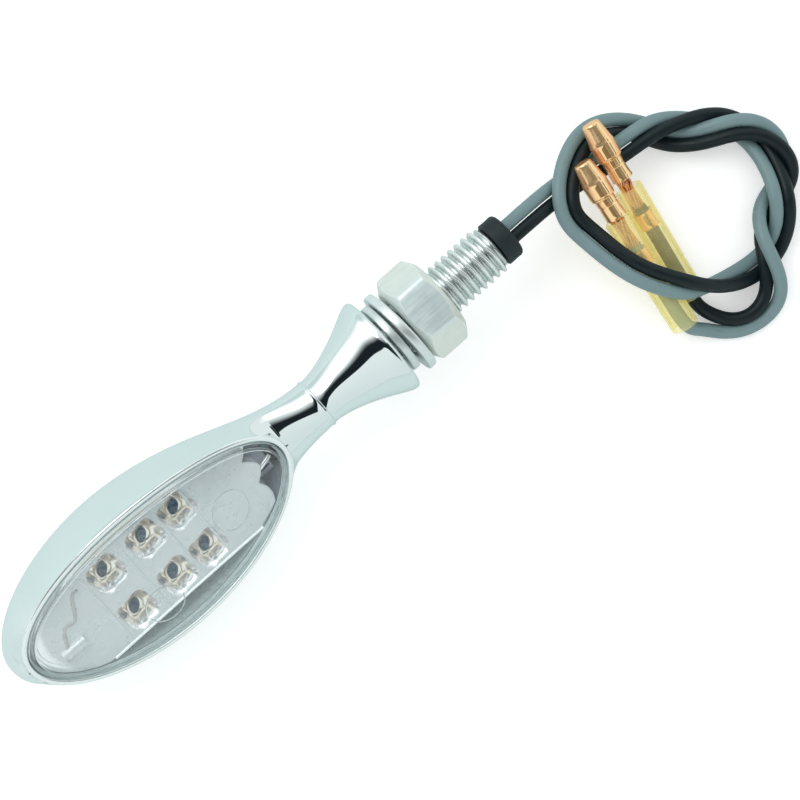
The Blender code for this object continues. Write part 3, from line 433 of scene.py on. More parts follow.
def add_piece(name, shape, materials, body, place, stands_for=None, smooth=SHARP_ANGLE):
    """Piece from (points in mm, faces, face materials, corner UVs), riding on a CAD body."""
    points, faces, slots, corners = (list(shape) + [None, None])[:4]
    item, mesh = new_object(name, points, faces)
    for material in materials:
        mesh.materials.append(material)
    if slots:
        mesh.polygons.foreach_set("material_index", slots)
    if corners:
        layer = mesh.uv_layers.new(name="along")
        for polygon, pairs in zip(mesh.polygons, corners):
            for loop, pair in zip(polygon.loop_indices, pairs):
                layer.data[loop].uv = pair
    closed_normals(mesh, merge=True)
    mesh.shade_smooth()
    mesh.set_sharp_from_angle(angle=math.radians(smooth))
    item.matrix_world = place
    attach(item, body)
    if stands_for:
        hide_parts(stands_for)
    return item


def carve(item, shapes):
    """Subtract closed shapes, given in the item's own millimetres, and keep the result."""
    for number, (points, faces) in enumerate(shapes):
        cutter, mesh = new_object("cutter_%d" % number, points, faces)
        closed_normals(mesh)
        cutter.matrix_world = item.matrix_world
        modifier = item.modifiers.new("cut", "BOOLEAN")
        modifier.operation = "DIFFERENCE"
        modifier.object = cutter
        modifier.solver = "EXACT"
        bpy.context.view_layer.update()
        graph = bpy.context.evaluated_depsgraph_get()
        result = bpy.data.meshes.new_from_object(item.evaluated_get(graph), depsgraph=graph)
        item.modifiers.remove(modifier)
        item.data = result
        bpy.data.objects.remove(cutter, do_unlink=True)
    item.data.set_sharp_from_angle(angle=math.radians(SHARP_ANGLE))


def ring_faces(first, second, count):
    """Quads between two rings of points, given by the index of each ring's first point."""
    return [
        (first + k, first + (k + 1) % count, second + (k + 1) % count, second + k)
        for k in range(count)
    ]


def loft(rings):
    """Closed solid through equal rings, with a flat cap at each end."""
    count = len(rings[0])
    points = [point for ring in rings for point in ring]
    faces = []
    for k in range(len(rings) - 1):
        faces += ring_faces(k * count, (k + 1) * count, count)
    faces.append(tuple(range(count)))
    faces.append(tuple(range(len(points) - count, len(points))))
    return points, faces


def turned(profile, segments, change=None):
    """Solid of revolution about X from a closed outline; change(angle, x, radius) may reshape it."""
    points = []
    for x, radius in profile:
        for k in range(segments):
            angle = math.tau * k / segments
            px, pr = change(angle, x, radius) if change else (x, radius)
            points.append((px, pr * math.cos(angle), pr * math.sin(angle)))
    faces = []
    for k in range(len(profile)):
        following = (k + 1) % len(profile)
        faces += ring_faces(k * segments, following * segments, segments)
    return points, faces


def rod_rings(stations, segments, y=0.0):
    """Rings along X from (x, radius along Y, radius along Z) stations."""
    rings = []
    for x, radius_y, radius_z in stations:
        rings.append([(x, y + radius_y * math.cos(math.tau * k / segments),
                       radius_z * math.sin(math.tau * k / segments))
                      for k in range(segments)])
    return rings


def round_rings(stations, segments, y=0.0):
    """Rings along X from (x, radius) stations."""
    return rod_rings([(x, radius, radius) for x, radius in stations], segments, y)


def merge_shapes(*shapes):
    """One shape that holds several closed bodies."""
    points, faces = [], []
    for more_points, more_faces in shapes:
        first = len(points)
        points += list(more_points)
        faces += [tuple(first + index for index in face) for face in more_faces]
    return points, faces


def catmull(p0, p1, p2, p3, u):
    """Point between p1 and p2 on the smooth curve through all four."""
    return 0.5 * (2.0 * p1 + (p2 - p0) * u + (2.0 * p0 - 5.0 * p1 + 4.0 * p2 - p3) * u * u
                  + (3.0 * p1 - p0 - 3.0 * p2 + p3) * u ** 3)


def settle(centres, rounds):
    """Even out small wobbles between neighbouring centres; both ends stay where they are."""
    centres = list(centres)
    for number in range(2 * rounds):
        push = SETTLE_PUSHES[number % 2]
        moved = list(centres)
        for k in range(SETTLE_FIXED_ENDS, len(centres) - SETTLE_FIXED_ENDS):
            middle = (centres[k - 1] + centres[k + 1]) / 2.0
            moved[k] = centres[k] + (middle - centres[k]) * push
        centres = moved
    return centres


def smooth_path(centres, steps):
    """Catmull-Rom curve through the centres, in steps pieces from each to the next."""
    path = []
    last = len(centres) - 1
    for k in range(last):
        p0, p1 = centres[max(k - 1, 0)], centres[k]
        p2, p3 = centres[k + 1], centres[min(k + 2, last)]
        path += [catmull(p0, p1, p2, p3, step / steps) for step in range(steps)]
    path.append(centres[last])
    return path


def tube(path, radius, sides):
    """Round bar along a path in mm, with UVs: length in metres, and turns round the bar."""
    rings, lengths, side = [], [0.0], Vector((0.0, 1.0, 0.0))
    for k, point in enumerate(path):
        before, after = path[max(k - 1, 0)], path[min(k + 1, len(path) - 1)]
        along = (after - before).normalized()
        side = (side - along * side.dot(along)).normalized()
        other = along.cross(side)
        width = radius(k) if callable(radius) else radius
        if k:
            lengths.append(lengths[-1] + (point - path[k - 1]).length * MM)
        rings.append([point + (side * math.cos(math.tau * j / sides)
                               + other * math.sin(math.tau * j / sides)) * width
                      for j in range(sides)])
    points, faces = loft(rings)
    corners = []
    for k in range(len(rings) - 1):
        low, high = lengths[k], lengths[k + 1]
        for j in range(sides):
            left, right = j / sides, (j + 1) / sides
            corners.append(((low, left), (low, right), (high, right), (high, left)))
    corners += [((0.0, 0.0),) * sides, ((lengths[-1], 0.0),) * sides]
    return points, faces, None, corners


# ---------------------------------------------------------------- curves of the lamp head

def polar_radius(angle, half_width, half_height, power):
    """Distance from the centre of a superellipse to its edge, in one direction."""
    across = abs(math.cos(angle) / half_width) ** power
    upward = abs(math.sin(angle) / half_height) ** power
    return (across + upward) ** (-1.0 / power)


def ease(value, start, end):
    """0 before start, 1 after end, and smooth between."""
    step = min(max((value - start) / (end - start), 0.0), 1.0)
    return step * step * (3.0 - 2.0 * step)


def bezier(p0, p1, p2, p3, t):
    """Cubic Bezier of plain numbers."""
    s = 1.0 - t
    return s ** 3 * p0 + 3 * s * s * t * p1 + 3 * s * t * t * p2 + t ** 3 * p3


def bezier_height(x, controls):
    """Height at x of a Bezier whose x only increases."""
    low, high = 0.0, 1.0
    for _ in range(40):
        middle = (low + high) / 2.0
        if bezier(*[control[0] for control in controls], middle) < x:
            low = middle
        else:
            high = middle
    return bezier(*[control[1] for control in controls], low)


def rim_ends():
    """X of the rim's nose end and neck end."""
    return RIM_WIDEST_X - RIM_NOSE_LENGTH, RIM_WIDEST_X + RIM_NECK_LENGTH


def rim_length(x):
    """Half length of the rim's ellipse on the side of x."""
    return RIM_NOSE_LENGTH if x < RIM_WIDEST_X else RIM_NECK_LENGTH


def rim_half_width(x):
    """Half width of the rim outline at x."""
    share = (x - RIM_WIDEST_X) / rim_length(x)
    return RIM_HALF_WIDTH * math.sqrt(max(0.0, 1.0 - share * share))


def rim_height(x):
    """Height of the rim line, highest at its peak and falling towards both ends."""
    nose_end, neck_end = rim_ends()
    reach = (RIM_PEAK_X - nose_end) if x < RIM_PEAK_X else (neck_end - RIM_PEAK_X)
    return RIM_PEAK_Z - RIM_END_DROP * ((x - RIM_PEAK_X) / reach) ** 2


def inset_point(x, y, inset):
    """Move a point of the rim outline inwards by inset, keeping the ellipse shape."""
    length = rim_length(x)
    inner_x = RIM_WIDEST_X + (x - RIM_WIDEST_X) * (length - inset) / length
    return inner_x, y * (RIM_HALF_WIDTH - inset) / RIM_HALF_WIDTH


def nose_share(x):
    """Share of the full width that is left at x, towards the nose."""
    share = (HEAD_WIDEST_X - x) / (HEAD_WIDEST_X - NOSE_X)
    return math.sqrt(max(0.0, 1.0 - share * share))


def body_half_width(x):
    """Half width of the head and neck at x."""
    if x < HEAD_WIDEST_X:
        return HEAD_HALF_WIDTH * nose_share(x)
    ends = ((HEAD_WIDEST_X, HEAD_HALF_WIDTH), (NECK_X, NECK_RADIUS))
    return bezier_height(x, (ends[0], *WIDTH_HANDLES, ends[1]))


def body_back_depth(x):
    """Depth of the section's back below its centre at x."""
    if x < HEAD_WIDEST_X:
        return HEAD_BACK_DEPTH * nose_share(x) ** NOSE_DEPTH_POWER
    ends = ((HEAD_WIDEST_X, HEAD_BACK_DEPTH), (NECK_X, NECK_RADIUS))
    return bezier_height(x, (ends[0], *DEPTH_HANDLES, ends[1]))


def body_centre(x):
    """Height of the section's centre above the stud's axis at x."""
    start, end = CENTRE_RISE_SPAN
    if x < start:
        return -HEAD_CENTRE_DROP + NOSE_CENTRE_RISE * ((x - start) / (NOSE_X - start)) ** 2
    return -HEAD_CENTRE_DROP * (1.0 - ease(x, start, end))


def body_squareness(x):
    """Power of the section's superellipse at x."""
    return HEAD_SQUARENESS + (ROUND_SQUARENESS - HEAD_SQUARENESS) * ease(x, *SQUARENESS_SPAN)


def body_top(x):
    """Height of the section's crown above its centre, and the angle where the rim cuts it."""
    nose_end, neck_end = rim_ends()
    centre = body_centre(x)
    if x <= nose_end:
        share = (nose_end - x) / (nose_end - NOSE_X)
        rise = rim_height(nose_end) - centre
        return rise * math.sqrt(max(0.0, 1.0 - share * share)), math.pi / 2.0
    if x >= neck_end:
        start = rim_height(neck_end) - body_centre(neck_end)
        share = ease(x, neck_end, NECK_X)
        return start + (NECK_RADIUS - start) * share, math.pi / 2.0
    power = body_squareness(x)
    rise = rim_height(x) - centre
    half_width = rim_half_width(x)
    inside = 1.0 - (half_width / body_half_width(x)) ** power
    crown = rise / max(inside, 0.001) ** (1.0 / power)
    return crown, math.atan2(rise, half_width)


def half_angles(first_angle):
    """Angles of a half section, from its first point down to the middle of the back."""
    upper = [first_angle * (1.0 - k / TOP_STEPS) for k in range(TOP_STEPS)]
    lower = [-math.pi / 2.0 * k / BACK_STEPS for k in range(BACK_STEPS + 1)]
    return upper + lower


def mirror_loop(half):
    """Complete a loop of (x, y, z) points that starts at +Y and ends on the middle line."""
    return half + [(x, -y, z) for x, y, z in reversed(half[:-1])]


def head_section(x, lowered=0.0):
    """Section of the head from the rim on the +Y side, round the back, to the other rim."""
    crown, first_angle = body_top(x)
    centre = body_centre(x)
    width = max(body_half_width(x), TINY)
    depth = max(body_back_depth(x), TINY)
    crown = max(crown, TINY)
    if lowered:
        reach = polar_radius(first_angle, width, crown, body_squareness(x))
        first_angle -= min(lowered / max(reach, TINY), LIP_LARGEST_TURN)
    half = []
    for angle in half_angles(first_angle):
        height = crown if angle > 0.0 else depth
        reach = polar_radius(angle, width, height, body_squareness(x))
        half.append((x, reach * math.cos(angle), centre + reach * math.sin(angle)))
    return mirror_loop(half)


def round_section(x, radius):
    """Round section with the points of a head section."""
    half = [(x, radius * math.cos(a), radius * math.sin(a)) for a in half_angles(math.pi / 2.0)]
    return mirror_loop(half)


def rim_stations():
    """X stations along the rim, closer together towards its ends."""
    nose_end, neck_end = rim_ends()
    middle = (nose_end + neck_end) / 2.0
    reach = (neck_end - nose_end) / 2.0
    return [middle - reach * math.cos(math.pi * k / RIM_STATIONS)
            for k in range(RIM_STATIONS + 1)]


def cavity_section(x):
    """Inner loop at one rim station: rounded lip, ledge, wall and floor."""
    width = rim_half_width(x)
    half = []
    for inset, lift in LIP_PROFILE:
        lip_x, lip_y = inset_point(x, width, inset)
        half.append((lip_x, lip_y, rim_height(lip_x) + lift))
    half.append((lip_x, lip_y, rim_height(lip_x) - LEDGE_DEPTH))
    wall_x, wall_y = inset_point(x, width, LIP_WIDTH + LEDGE_WIDTH)
    wall_z = rim_height(wall_x) - LEDGE_DEPTH
    end_z = wall_z - CAVITY_END_DEPTH
    floor_z = end_z + (CAVITY_FLOOR_Z - end_z) * width / RIM_HALF_WIDTH
    for k in range(WALL_STEPS + 1):
        angle = math.pi / 2.0 * k / WALL_STEPS
        reach = polar_radius(angle, max(wall_y, TINY), wall_z - floor_z, CAVITY_SQUARENESS)
        half.append((wall_x, reach * math.cos(angle), wall_z - reach * math.sin(angle)))
    return mirror_loop(half)


def open_grid(sections, points, faces):
    """Append a grid of open loops and return the index of its first point."""
    first = len(points)
    count = len(sections[0])
    for section in sections:
        points.extend(section)
    for k in range(len(sections) - 1):
        for j in range(count - 1):
            corner = first + k * count + j
            faces.append((corner, corner + 1, corner + count + 1, corner + count))
    return first


def housing_shape():
    """Whole casting in mm: the lamp chamber takes the second material, its lip the third."""
    nose_end, neck_end = rim_ends()
    points, faces = [], []
    outer = [head_section(nose_end + (NOSE_X - nose_end) * math.cos(math.pi / 2.0 * k / END_STEPS))
             for k in range(END_STEPS)]
    rim_start = len(outer)
    outer += [head_section(x, LIP_OUTER_DROP) for x in rim_stations()]
    outer += [head_section(neck_end + (NECK_X - neck_end) * k / END_STEPS)
              for k in range(1, END_STEPS + 1)]
    outer += [round_section(x, radius) for x, radius in TRUMPET_PROFILE]
    outer += [round_section(0.0, FLANGE_RING_RADIUS),
              round_section(-FLANGE_RECESS, FLANGE_RING_RADIUS - FLANGE_RECESS_TAPER),
              round_section(-FLANGE_RECESS, TINY)]
    outer_first = open_grid(outer, points, faces)
    inner = [cavity_section(x) for x in rim_stations()]
    inner_start = len(faces)
    inner_first = open_grid(inner, points, faces)
    outer_count, inner_count = len(outer[0]), len(inner[0])
    slots = [0] * inner_start
    lip_columns = len(LIP_PROFILE)
    for _ in range(len(inner) - 1):
        for j in range(inner_count - 1):
            deep = lip_columns <= j < inner_count - 1 - lip_columns
            slots.append(1 if deep else 2)
    for k in range(len(inner) - 1):
        out_a = outer_first + (rim_start + k) * outer_count
        out_b = out_a + outer_count
        in_a = inner_first + k * inner_count
        in_b = in_a + inner_count
        faces.append((out_a, out_b, in_b, in_a))
        faces.append((out_a + outer_count - 1, in_a + inner_count - 1,
                      in_b + inner_count - 1, out_b + outer_count - 1))
        slots += [2, 2]
    return points, faces, slots


def housing_cutters():
    """Way of the wires from the chamber to the stud, and the stud's socket."""
    throat_span = (THROAT_START_X, -SOCKET_DEPTH + THROAT_OVERLAP)
    passage = rod_rings([(x, PASSAGE_RADIUS, PASSAGE_HALF_HEIGHT) for x in PASSAGE_X], 32)
    throat = round_rings([(x, PASSAGE_RADIUS) for x in throat_span], 32)
    socket = round_rings([(x, SOCKET_RADIUS) for x in (-SOCKET_DEPTH, 1.0)], 64)
    return [loft(passage), loft(throat), loft(socket)]


# ---------------------------------------------------------------- lens

def rim_ring(inset, scale):
    """Points (x, y) of the rim outline, inset and then scaled towards its middle."""
    ring = []
    for k in range(LENS_COUNT):
        angle = math.tau * k / LENS_COUNT
        length = RIM_NOSE_LENGTH if math.cos(angle) < 0.0 else RIM_NECK_LENGTH
        x = RIM_WIDEST_X + scale * (length - inset) * math.cos(angle)
        ring.append((x, scale * (RIM_HALF_WIDTH - inset) * math.sin(angle)))
    return ring


def lens_profile():
    """(inset, scale, lift above the rim line) from the lens edge to near its middle."""
    profile = [(LENS_INSET + inset, 1.0, lift) for inset, lift in LENS_EDGE_PROFILE]
    step_inset = LENS_INSET + LENS_STRIP
    for k in range(CURVE_STEPS + 1):
        angle = math.pi / 2.0 * k / CURVE_STEPS
        profile.append((step_inset + LENS_STEP_WIDTH * math.sin(angle), 1.0,
                        LENS_STRIP_RISE + LENS_STEP * (1.0 - math.cos(angle))))
    for k in range(1, CROWN_RINGS):
        scale = math.cos(math.pi / 2.0 * k / (CROWN_RINGS + 0.5))
        rise = (LENS_CROWN - CROWN_BASE) * (1.0 - scale * scale)
        profile.append((CROWN_INSET, scale, CROWN_BASE + rise))
    return profile


def crown_height(x, y):
    """Height of the lens's crown above the rim line over a point, and never below its base."""
    share = ((x - RIM_WIDEST_X) / (rim_length(x) - CROWN_INSET)) ** 2
    share += (y / (RIM_HALF_WIDTH - CROWN_INSET)) ** 2
    return CROWN_BASE + (LENS_CROWN - CROWN_BASE) * (1.0 - min(share, 1.0))


def lens_shape():
    """Crowned cover of even thickness."""
    points, faces = [], []
    profile = lens_profile()
    for underside in (0.0, LENS_EDGE):
        for inset, scale, lift in profile:
            for x, y in rim_ring(inset, scale):
                points.append((x, y, rim_height(x) + lift - underside))
        points.append((RIM_WIDEST_X, 0.0, rim_height(RIM_WIDEST_X) + LENS_CROWN - underside))
    half = len(profile) * LENS_COUNT + 1
    for first in (0, half):
        for k in range(len(profile) - 1):
            faces += ring_faces(first + k * LENS_COUNT, first + (k + 1) * LENS_COUNT, LENS_COUNT)
        last = first + (len(profile) - 1) * LENS_COUNT
        middle = first + half - 1
        faces += [(last + k, last + (k + 1) % LENS_COUNT, middle) for k in range(LENS_COUNT)]
    faces += ring_faces(0, half, LENS_COUNT)
    return points, faces


def lens_ring_shape(centre_x, centre_y):
    """Plain moulded ring that stands a little proud of the lens."""
    path = []
    for k in range(72):
        angle = math.tau * k / 72
        x = centre_x + LENS_RING_RADIUS * math.cos(angle)
        y = centre_y + LENS_RING_RADIUS * math.sin(angle)
        path.append(Vector((x, y, rim_height(x) + crown_height(x, y) + LENS_RING_LIFT)))
    return closed_tube(path, LENS_RING_BEAD, 10)


def closed_tube(path, radius, sides):
    """Ring-shaped bar along a closed, nearly level path."""
    points, faces = [], []
    count = len(path)
    for k, point in enumerate(path):
        along = (path[(k + 1) % count] - path[k - 1]).normalized()
        side = along.cross(Vector((0.0, 0.0, 1.0))).normalized()
        other = along.cross(side)
        points += [point + (side * math.cos(math.tau * j / sides)
                            + other * math.sin(math.tau * j / sides)) * radius
                   for j in range(sides)]
    for k in range(count):
        faces += ring_faces(k * sides, (k + 1) % count * sides, sides)
    return points, faces


# ---------------------------------------------------------------- lamps and reflector details

def lamp_places():
    """Centres (x, y) of the six lamps."""
    return [(x, y) for x in LAMP_COLUMNS_X for y in (LAMP_ROW_Y, -LAMP_ROW_Y)]


def level_ring(x, y, z, radius, count):
    """Level circle of points."""
    return [(x + radius * math.cos(math.tau * k / count),
             y + radius * math.sin(math.tau * k / count), z) for k in range(count)]


def upright(x, y, profile, count=40):
    """Closed turned shape about a line parallel to Z, from (z, radius) stations."""
    return loft([level_ring(x, y, z, max(radius, TINY), count) for z, radius in profile])


def lamp_body_profile():
    """(z, radius) stations of a lamp: flanged foot, straight body and domed top."""
    shoulder = LAMP_TOP_Z - LAMP_RADIUS
    profile = [(LAMP_BASE_Z + z, radius) for z, radius in LAMP_FOOT]
    for k in range(15):
        angle = math.pi / 2.0 * k / 15
        profile.append((shoulder + LAMP_RADIUS * math.sin(angle), LAMP_RADIUS * math.cos(angle)))
    profile.append((LAMP_TOP_Z, LAMP_TIP_RADIUS))
    return profile


def leaf_ring(x, y, z, reach, half_width, turn):
    """Flat pointed oval, with its longer half reaching towards the turn angle."""
    ring = []
    for k in range(28):
        angle = math.tau * k / 28
        along = reach[0 if math.cos(angle) > 0.0 else 1] * math.cos(angle)
        side = half_width * math.sin(angle) * abs(math.sin(angle)) ** LEAF_POINTEDNESS
        ring.append((x + along * math.cos(turn) - side * math.sin(turn),
                     y + along * math.sin(turn) + side * math.cos(turn), z))
    return ring


def leaf_shape(x, y, stations, reach, half_width):
    """Lofted pointed oval from (height over the lamp's base, share of full size) stations."""
    rings = []
    for z, share in stations:
        reaches = [length * share for length in reach]
        rings.append(leaf_ring(x, y, LAMP_BASE_Z + z, reaches, half_width * share, IMAGE_DOWN))
    return loft(rings)


def tray_top(x, y):
    """Height of the reflector's top face, kept below the lens."""
    return min(TRAY_TOP_Z, rim_height(x) + crown_height(x, y) - LENS_EDGE - TRAY_LENS_GAP)


def tray_end(y):
    """Where the reflector ends towards the neck: two rounded lobes side by side."""
    turn = math.pi * (y - TRAY_LOBE_SPLIT_Y) / TRAY_LOBE_WIDTH
    reach = TRAY_LOBES[0] if turn > 0.0 else TRAY_LOBES[1]
    return TRAY_END_X + reach * abs(math.sin(turn))


def tray_ring(inset, scale, drop=None):
    """Outline of the reflector, inset and scaled, at its base or a drop below its top."""
    ring = []
    limit = TRAY_HALF_WIDTH - inset
    for x, y in rim_ring(TRAY_INSET + inset, 1.0):
        x = min(x, tray_end(y) - inset)
        x = scale * (x - RIM_WIDEST_X) + RIM_WIDEST_X
        y = scale * max(-limit, min(limit, y))
        ring.append((x, y, TRAY_BASE_Z if drop is None else tray_top(x, y) - drop))
    return ring


def tray_shape():
    """Reflector body with a rounded upper edge."""
    rings = [tray_ring(0.0, 1.0)]
    for k in range(7):
        angle = math.pi / 2.0 * k / 6
        rings.append(tray_ring(TRAY_ROUNDING * (1.0 - math.cos(angle)), 1.0,
                               TRAY_ROUNDING * (1.0 - math.sin(angle))))
    rings += [tray_ring(TRAY_ROUNDING, 1.0 - TRAY_TOP_STEP * k, 0.0)
              for k in range(1, TRAY_TOP_RINGS + 1)]
    rings.append(tray_ring(TRAY_ROUNDING, TRAY_TOP_LAST, 0.0))
    return loft(rings)


def bowl_shape(x, y):
    """Cutter for one lamp's bowl: four soft corners, one of them towards IMAGE_DOWN."""
    rings = []
    for z, radius in BOWL_PROFILE:
        ring = []
        for k in range(72):
            angle = math.tau * k / 72
            reach = radius * (1.0 + BOWL_POINT * math.cos(4.0 * (angle - IMAGE_DOWN)))
            ring.append((x + reach * math.cos(angle), y + reach * math.sin(angle), z))
        rings.append(ring)
    return loft(rings)


def wavy_bead_shape():
    """Soft raised wave left by the moulding near the nose end."""
    bead = []
    for k in range(49):
        share = k / 48
        x = WAVE_START[0] + WAVE_RUN[0] * share
        y = WAVE_START[1] + WAVE_RUN[1] * share + WAVE_SWING * math.sin(WAVE_TURNS * share)
        bead.append(Vector((x, y, tray_top(x, y) - WAVE_SINK)))
    return tube(bead, WAVE_RADIUS, 12)[:2]


def tray_edge_shape():
    """Bead along the reflector's low edge, which carries a painted highlight line."""
    edge = []
    for k in range(41):
        x = EDGE_SPAN[0] + (EDGE_SPAN[1] - EDGE_SPAN[0]) * k / 40
        y = EDGE_INSET - TRAY_HALF_WIDTH
        edge.append(Vector((x, y, tray_top(x, y) - EDGE_SINK)))
    return tube(edge, EDGE_RADIUS, 16)[:2]


def tray_details():
    """Cross ribs between the lamp columns and an end block."""
    block = [Vector((x, BLOCK_Y, tray_top(x, BLOCK_Y) - BLOCK_SINK)) for x in BLOCK_X]
    ribs = [rib_shape(x) for x in RIB_STATIONS]
    return merge_shapes(*ribs, tube(block, BLOCK_RADIUS, 32)[:2])


def rib_shape(x):
    """Thin moulded wall across the head with a rounded top edge."""
    low_z, high_z = RIB_SPAN_Z
    half_width = RIB_HALF_WIDTH
    section = [(-half_width, low_z), (half_width, low_z), (half_width, high_z - half_width)]
    for k in range(1, 6):
        angle = math.pi * k / 6
        rise = half_width * math.sin(angle)
        section.append((half_width * math.cos(angle), high_z - half_width + rise))
    section.append((-half_width, high_z - half_width))
    return loft([[(x + dx, y, z) for dx, z in section] for y in (-RIB_REACH_Y, RIB_REACH_Y)])


def boss_shape():
    """Round-ended slim bar over the way of the wires at the neck end of the chamber."""
    start, end = Vector(BOSS_ENDS[0]), Vector(BOSS_ENDS[1])
    path = [start.lerp(end, share) for share in BOSS_STATIONS]

    def radius(k):
        return BOSS_RADIUS * (BOSS_END_SHARE if k in (0, len(path) - 1) else 1.0)

    return tube(path, radius, 32)[:2]


# ---------------------------------------------------------------- stud, nut and washers

def thread_columns(start, end, columns, radius_at, end_radius, turned_by=0.0):
    """Columns of (x, radius) points down a right-hand thread, flattened to its end planes.

    Every thread passes through the same helix about X; turned_by is the piece's own rotation.
    """
    first_turn = int(start / THREAD_PITCH) - 2
    last_turn = int(end / THREAD_PITCH) + 2
    result = []
    for column in range(columns):
        lead = THREAD_PITCH * (column / columns + turned_by / math.tau)
        points = []
        for turn in range(first_turn, last_turn):
            for share, height in THREAD_STEPS:
                x = (turn + share) * THREAD_PITCH + lead
                if x <= start:
                    points.append((start, end_radius(start)))
                elif x >= end:
                    points.append((end, end_radius(end)))
                else:
                    points.append((x, radius_at(x, height)))
        result.append(points)
    return result


def thread_rings(columns):
    """Rings across the columns; the last column meets the first one turn later."""
    count = len(columns)
    rings = []
    for k in range(len(columns[0])):
        ring = []
        for j in range(count):
            x, radius = columns[j][k]
            angle = math.tau * j / count
            ring.append((x, radius * math.cos(angle), radius * math.sin(angle)))
        rings.append(ring)
    return rings


def helical_faces(ring_count, count):
    """Quads of a thread: at the seam each ring continues into the ring one pitch along."""
    shift = len(THREAD_STEPS)
    faces = []
    for k in range(ring_count - 1):
        for j in range(count - 1):
            corner = k * count + j
            faces.append((corner, corner + 1, corner + count + 1, corner + count))
        if k + shift + 1 < ring_count:
            seam = k * count + count - 1
            onward = (k + shift) * count
            faces.append((seam, onward, onward + count, seam + count))
    return faces


def stud_shape():
    """Hollow stud: plain spigot in the housing, then a full thread to a chamfered end."""
    def radius_at(x, height):
        radius = THREAD_MINOR_RADIUS + height * (THREAD_MAJOR_RADIUS - THREAD_MINOR_RADIUS)
        chamfer = THREAD_MINOR_RADIUS - STUD_CHAMFER + (STUD_END_X - x)
        return min(radius, chamfer)

    def end_radius(x):
        return THREAD_MINOR_RADIUS if x < STUD_END_X else THREAD_MINOR_RADIUS - STUD_CHAMFER

    count = STUD_COLUMNS
    columns = thread_columns(THREAD_START_X, STUD_END_X, count, radius_at, end_radius)
    rings = thread_rings(columns)
    points = [point for ring in rings for point in ring]
    faces = helical_faces(len(rings), count)
    first = len(points)
    for ring in round_rings([(STUD_SPIGOT_X, THREAD_MINOR_RADIUS),
                             (STUD_SPIGOT_X, STUD_BORE_RADIUS),
                             (STUD_END_X - STUD_BORE_CHAMFER, STUD_BORE_RADIUS),
                             (STUD_END_X, STUD_BORE_RADIUS + STUD_BORE_CHAMFER)], count):
        points += ring
    faces += ring_faces(0, first, count)
    for k in range(3):
        faces += ring_faces(first + k * count, first + (k + 1) * count, count)
    faces += ring_faces(first + 3 * count, (len(rings) - 1) * count, count)
    return points, faces


def hexagon_radius(angle):
    """Distance to the side of a hexagon whose six edges are slightly rounded."""
    total = 0.0
    for k in range(6):
        cosine = math.cos(angle - math.pi / 3.0 * k - math.pi / 6.0)
        if cosine > 0.0:
            total += cosine ** HEXAGON_POWER
    return NUT_ACROSS_FLATS / 2.0 * total ** (-1.0 / HEXAGON_POWER)


def nut_shape():
    """Hexagon nut with cone-cut ends, softened edges and a thread that clears the stud's."""
    start, end = NUT_START_X, NUT_START_X + NUT_HEIGHT
    minor = THREAD_MINOR_RADIUS + THREAD_FIT
    major = THREAD_MAJOR_RADIUS + THREAD_FIT
    mouth = major + NUT_COUNTERSINK

    def radius_at(x, height):
        countersink = mouth - min(x - start, end - x)
        return max(minor + height * (major - minor), countersink)

    count = NUT_COLUMNS
    columns = thread_columns(start, end, count, radius_at, lambda x: mouth, NUT_TURN)
    rings = thread_rings(columns)
    points = [point for ring in rings for point in ring]
    faces = helical_faces(len(rings), count)
    first = len(points)
    outer_rings = []
    for x, side in ((start, 1.0), (end, -1.0)):
        outer_rings.append([nut_edge(x, side, k, step) for step in range(6) for k in range(count)])
    points += outer_rings[0] + outer_rings[1]
    second = first + 6 * count
    faces += ring_faces(0, first, count)
    for k in range(5):
        faces += ring_faces(first + k * count, first + (k + 1) * count, count)
        faces += ring_faces(second + k * count, second + (k + 1) * count, count)
    faces += ring_faces(first + 5 * count, second + 5 * count, count)
    faces += ring_faces(second, (len(rings) - 1) * count, count)
    return points, faces


def nut_edge(x, side, k, step):
    """Point of the softened profile from the nut's end face (step 0) to its flat (step 5)."""
    angle = math.tau * k / NUT_COLUMNS
    corner = hexagon_radius(angle)
    drop = (corner - NUT_FACE_RADIUS) * math.tan(NUT_CHAMFER)
    soft = min(NUT_SOFTNESS, NUT_SOFT_SHARE * (corner - NUT_FACE_RADIUS))
    face_inset, rounding, flat_start = NUT_EDGE
    choices = (
        (0.0, NUT_FACE_RADIUS - face_inset),
        (rounding, NUT_FACE_RADIUS + 0.02),
        (soft * math.tan(NUT_CHAMFER) + 0.02, NUT_FACE_RADIUS + soft),
        (drop - soft * math.tan(NUT_CHAMFER), corner - soft),
        (drop + rounding, corner - rounding),
        (drop + flat_start, corner),
    )
    depth, radius = choices[step]
    return x + side * depth, radius * math.cos(angle), radius * math.sin(angle)


def flat_washer_shape():
    """Plain washer with rounded outer edges and eased bore edges."""
    start, end = FLAT_WASHER_X
    inner, outer = FLAT_WASHER_RADII
    back, front = FLAT_WASHER_ROUNDING
    profile = [(start, inner + WASHER_BORE_EASE), (start + WASHER_BORE_EASE, inner),
               (end - WASHER_BORE_EASE, inner), (end, inner + WASHER_BORE_EASE)]
    turns = [math.pi / 2.0 * k / CURVE_STEPS for k in range(CURVE_STEPS + 1)]
    profile += [(end - front * (1.0 - math.cos(turn)), outer - front * (1.0 - math.sin(turn)))
                for turn in turns]
    profile += [(start + back * (1.0 - math.sin(turn)), outer - back * (1.0 - math.cos(turn)))
                for turn in turns]
    return turned(profile, 160)


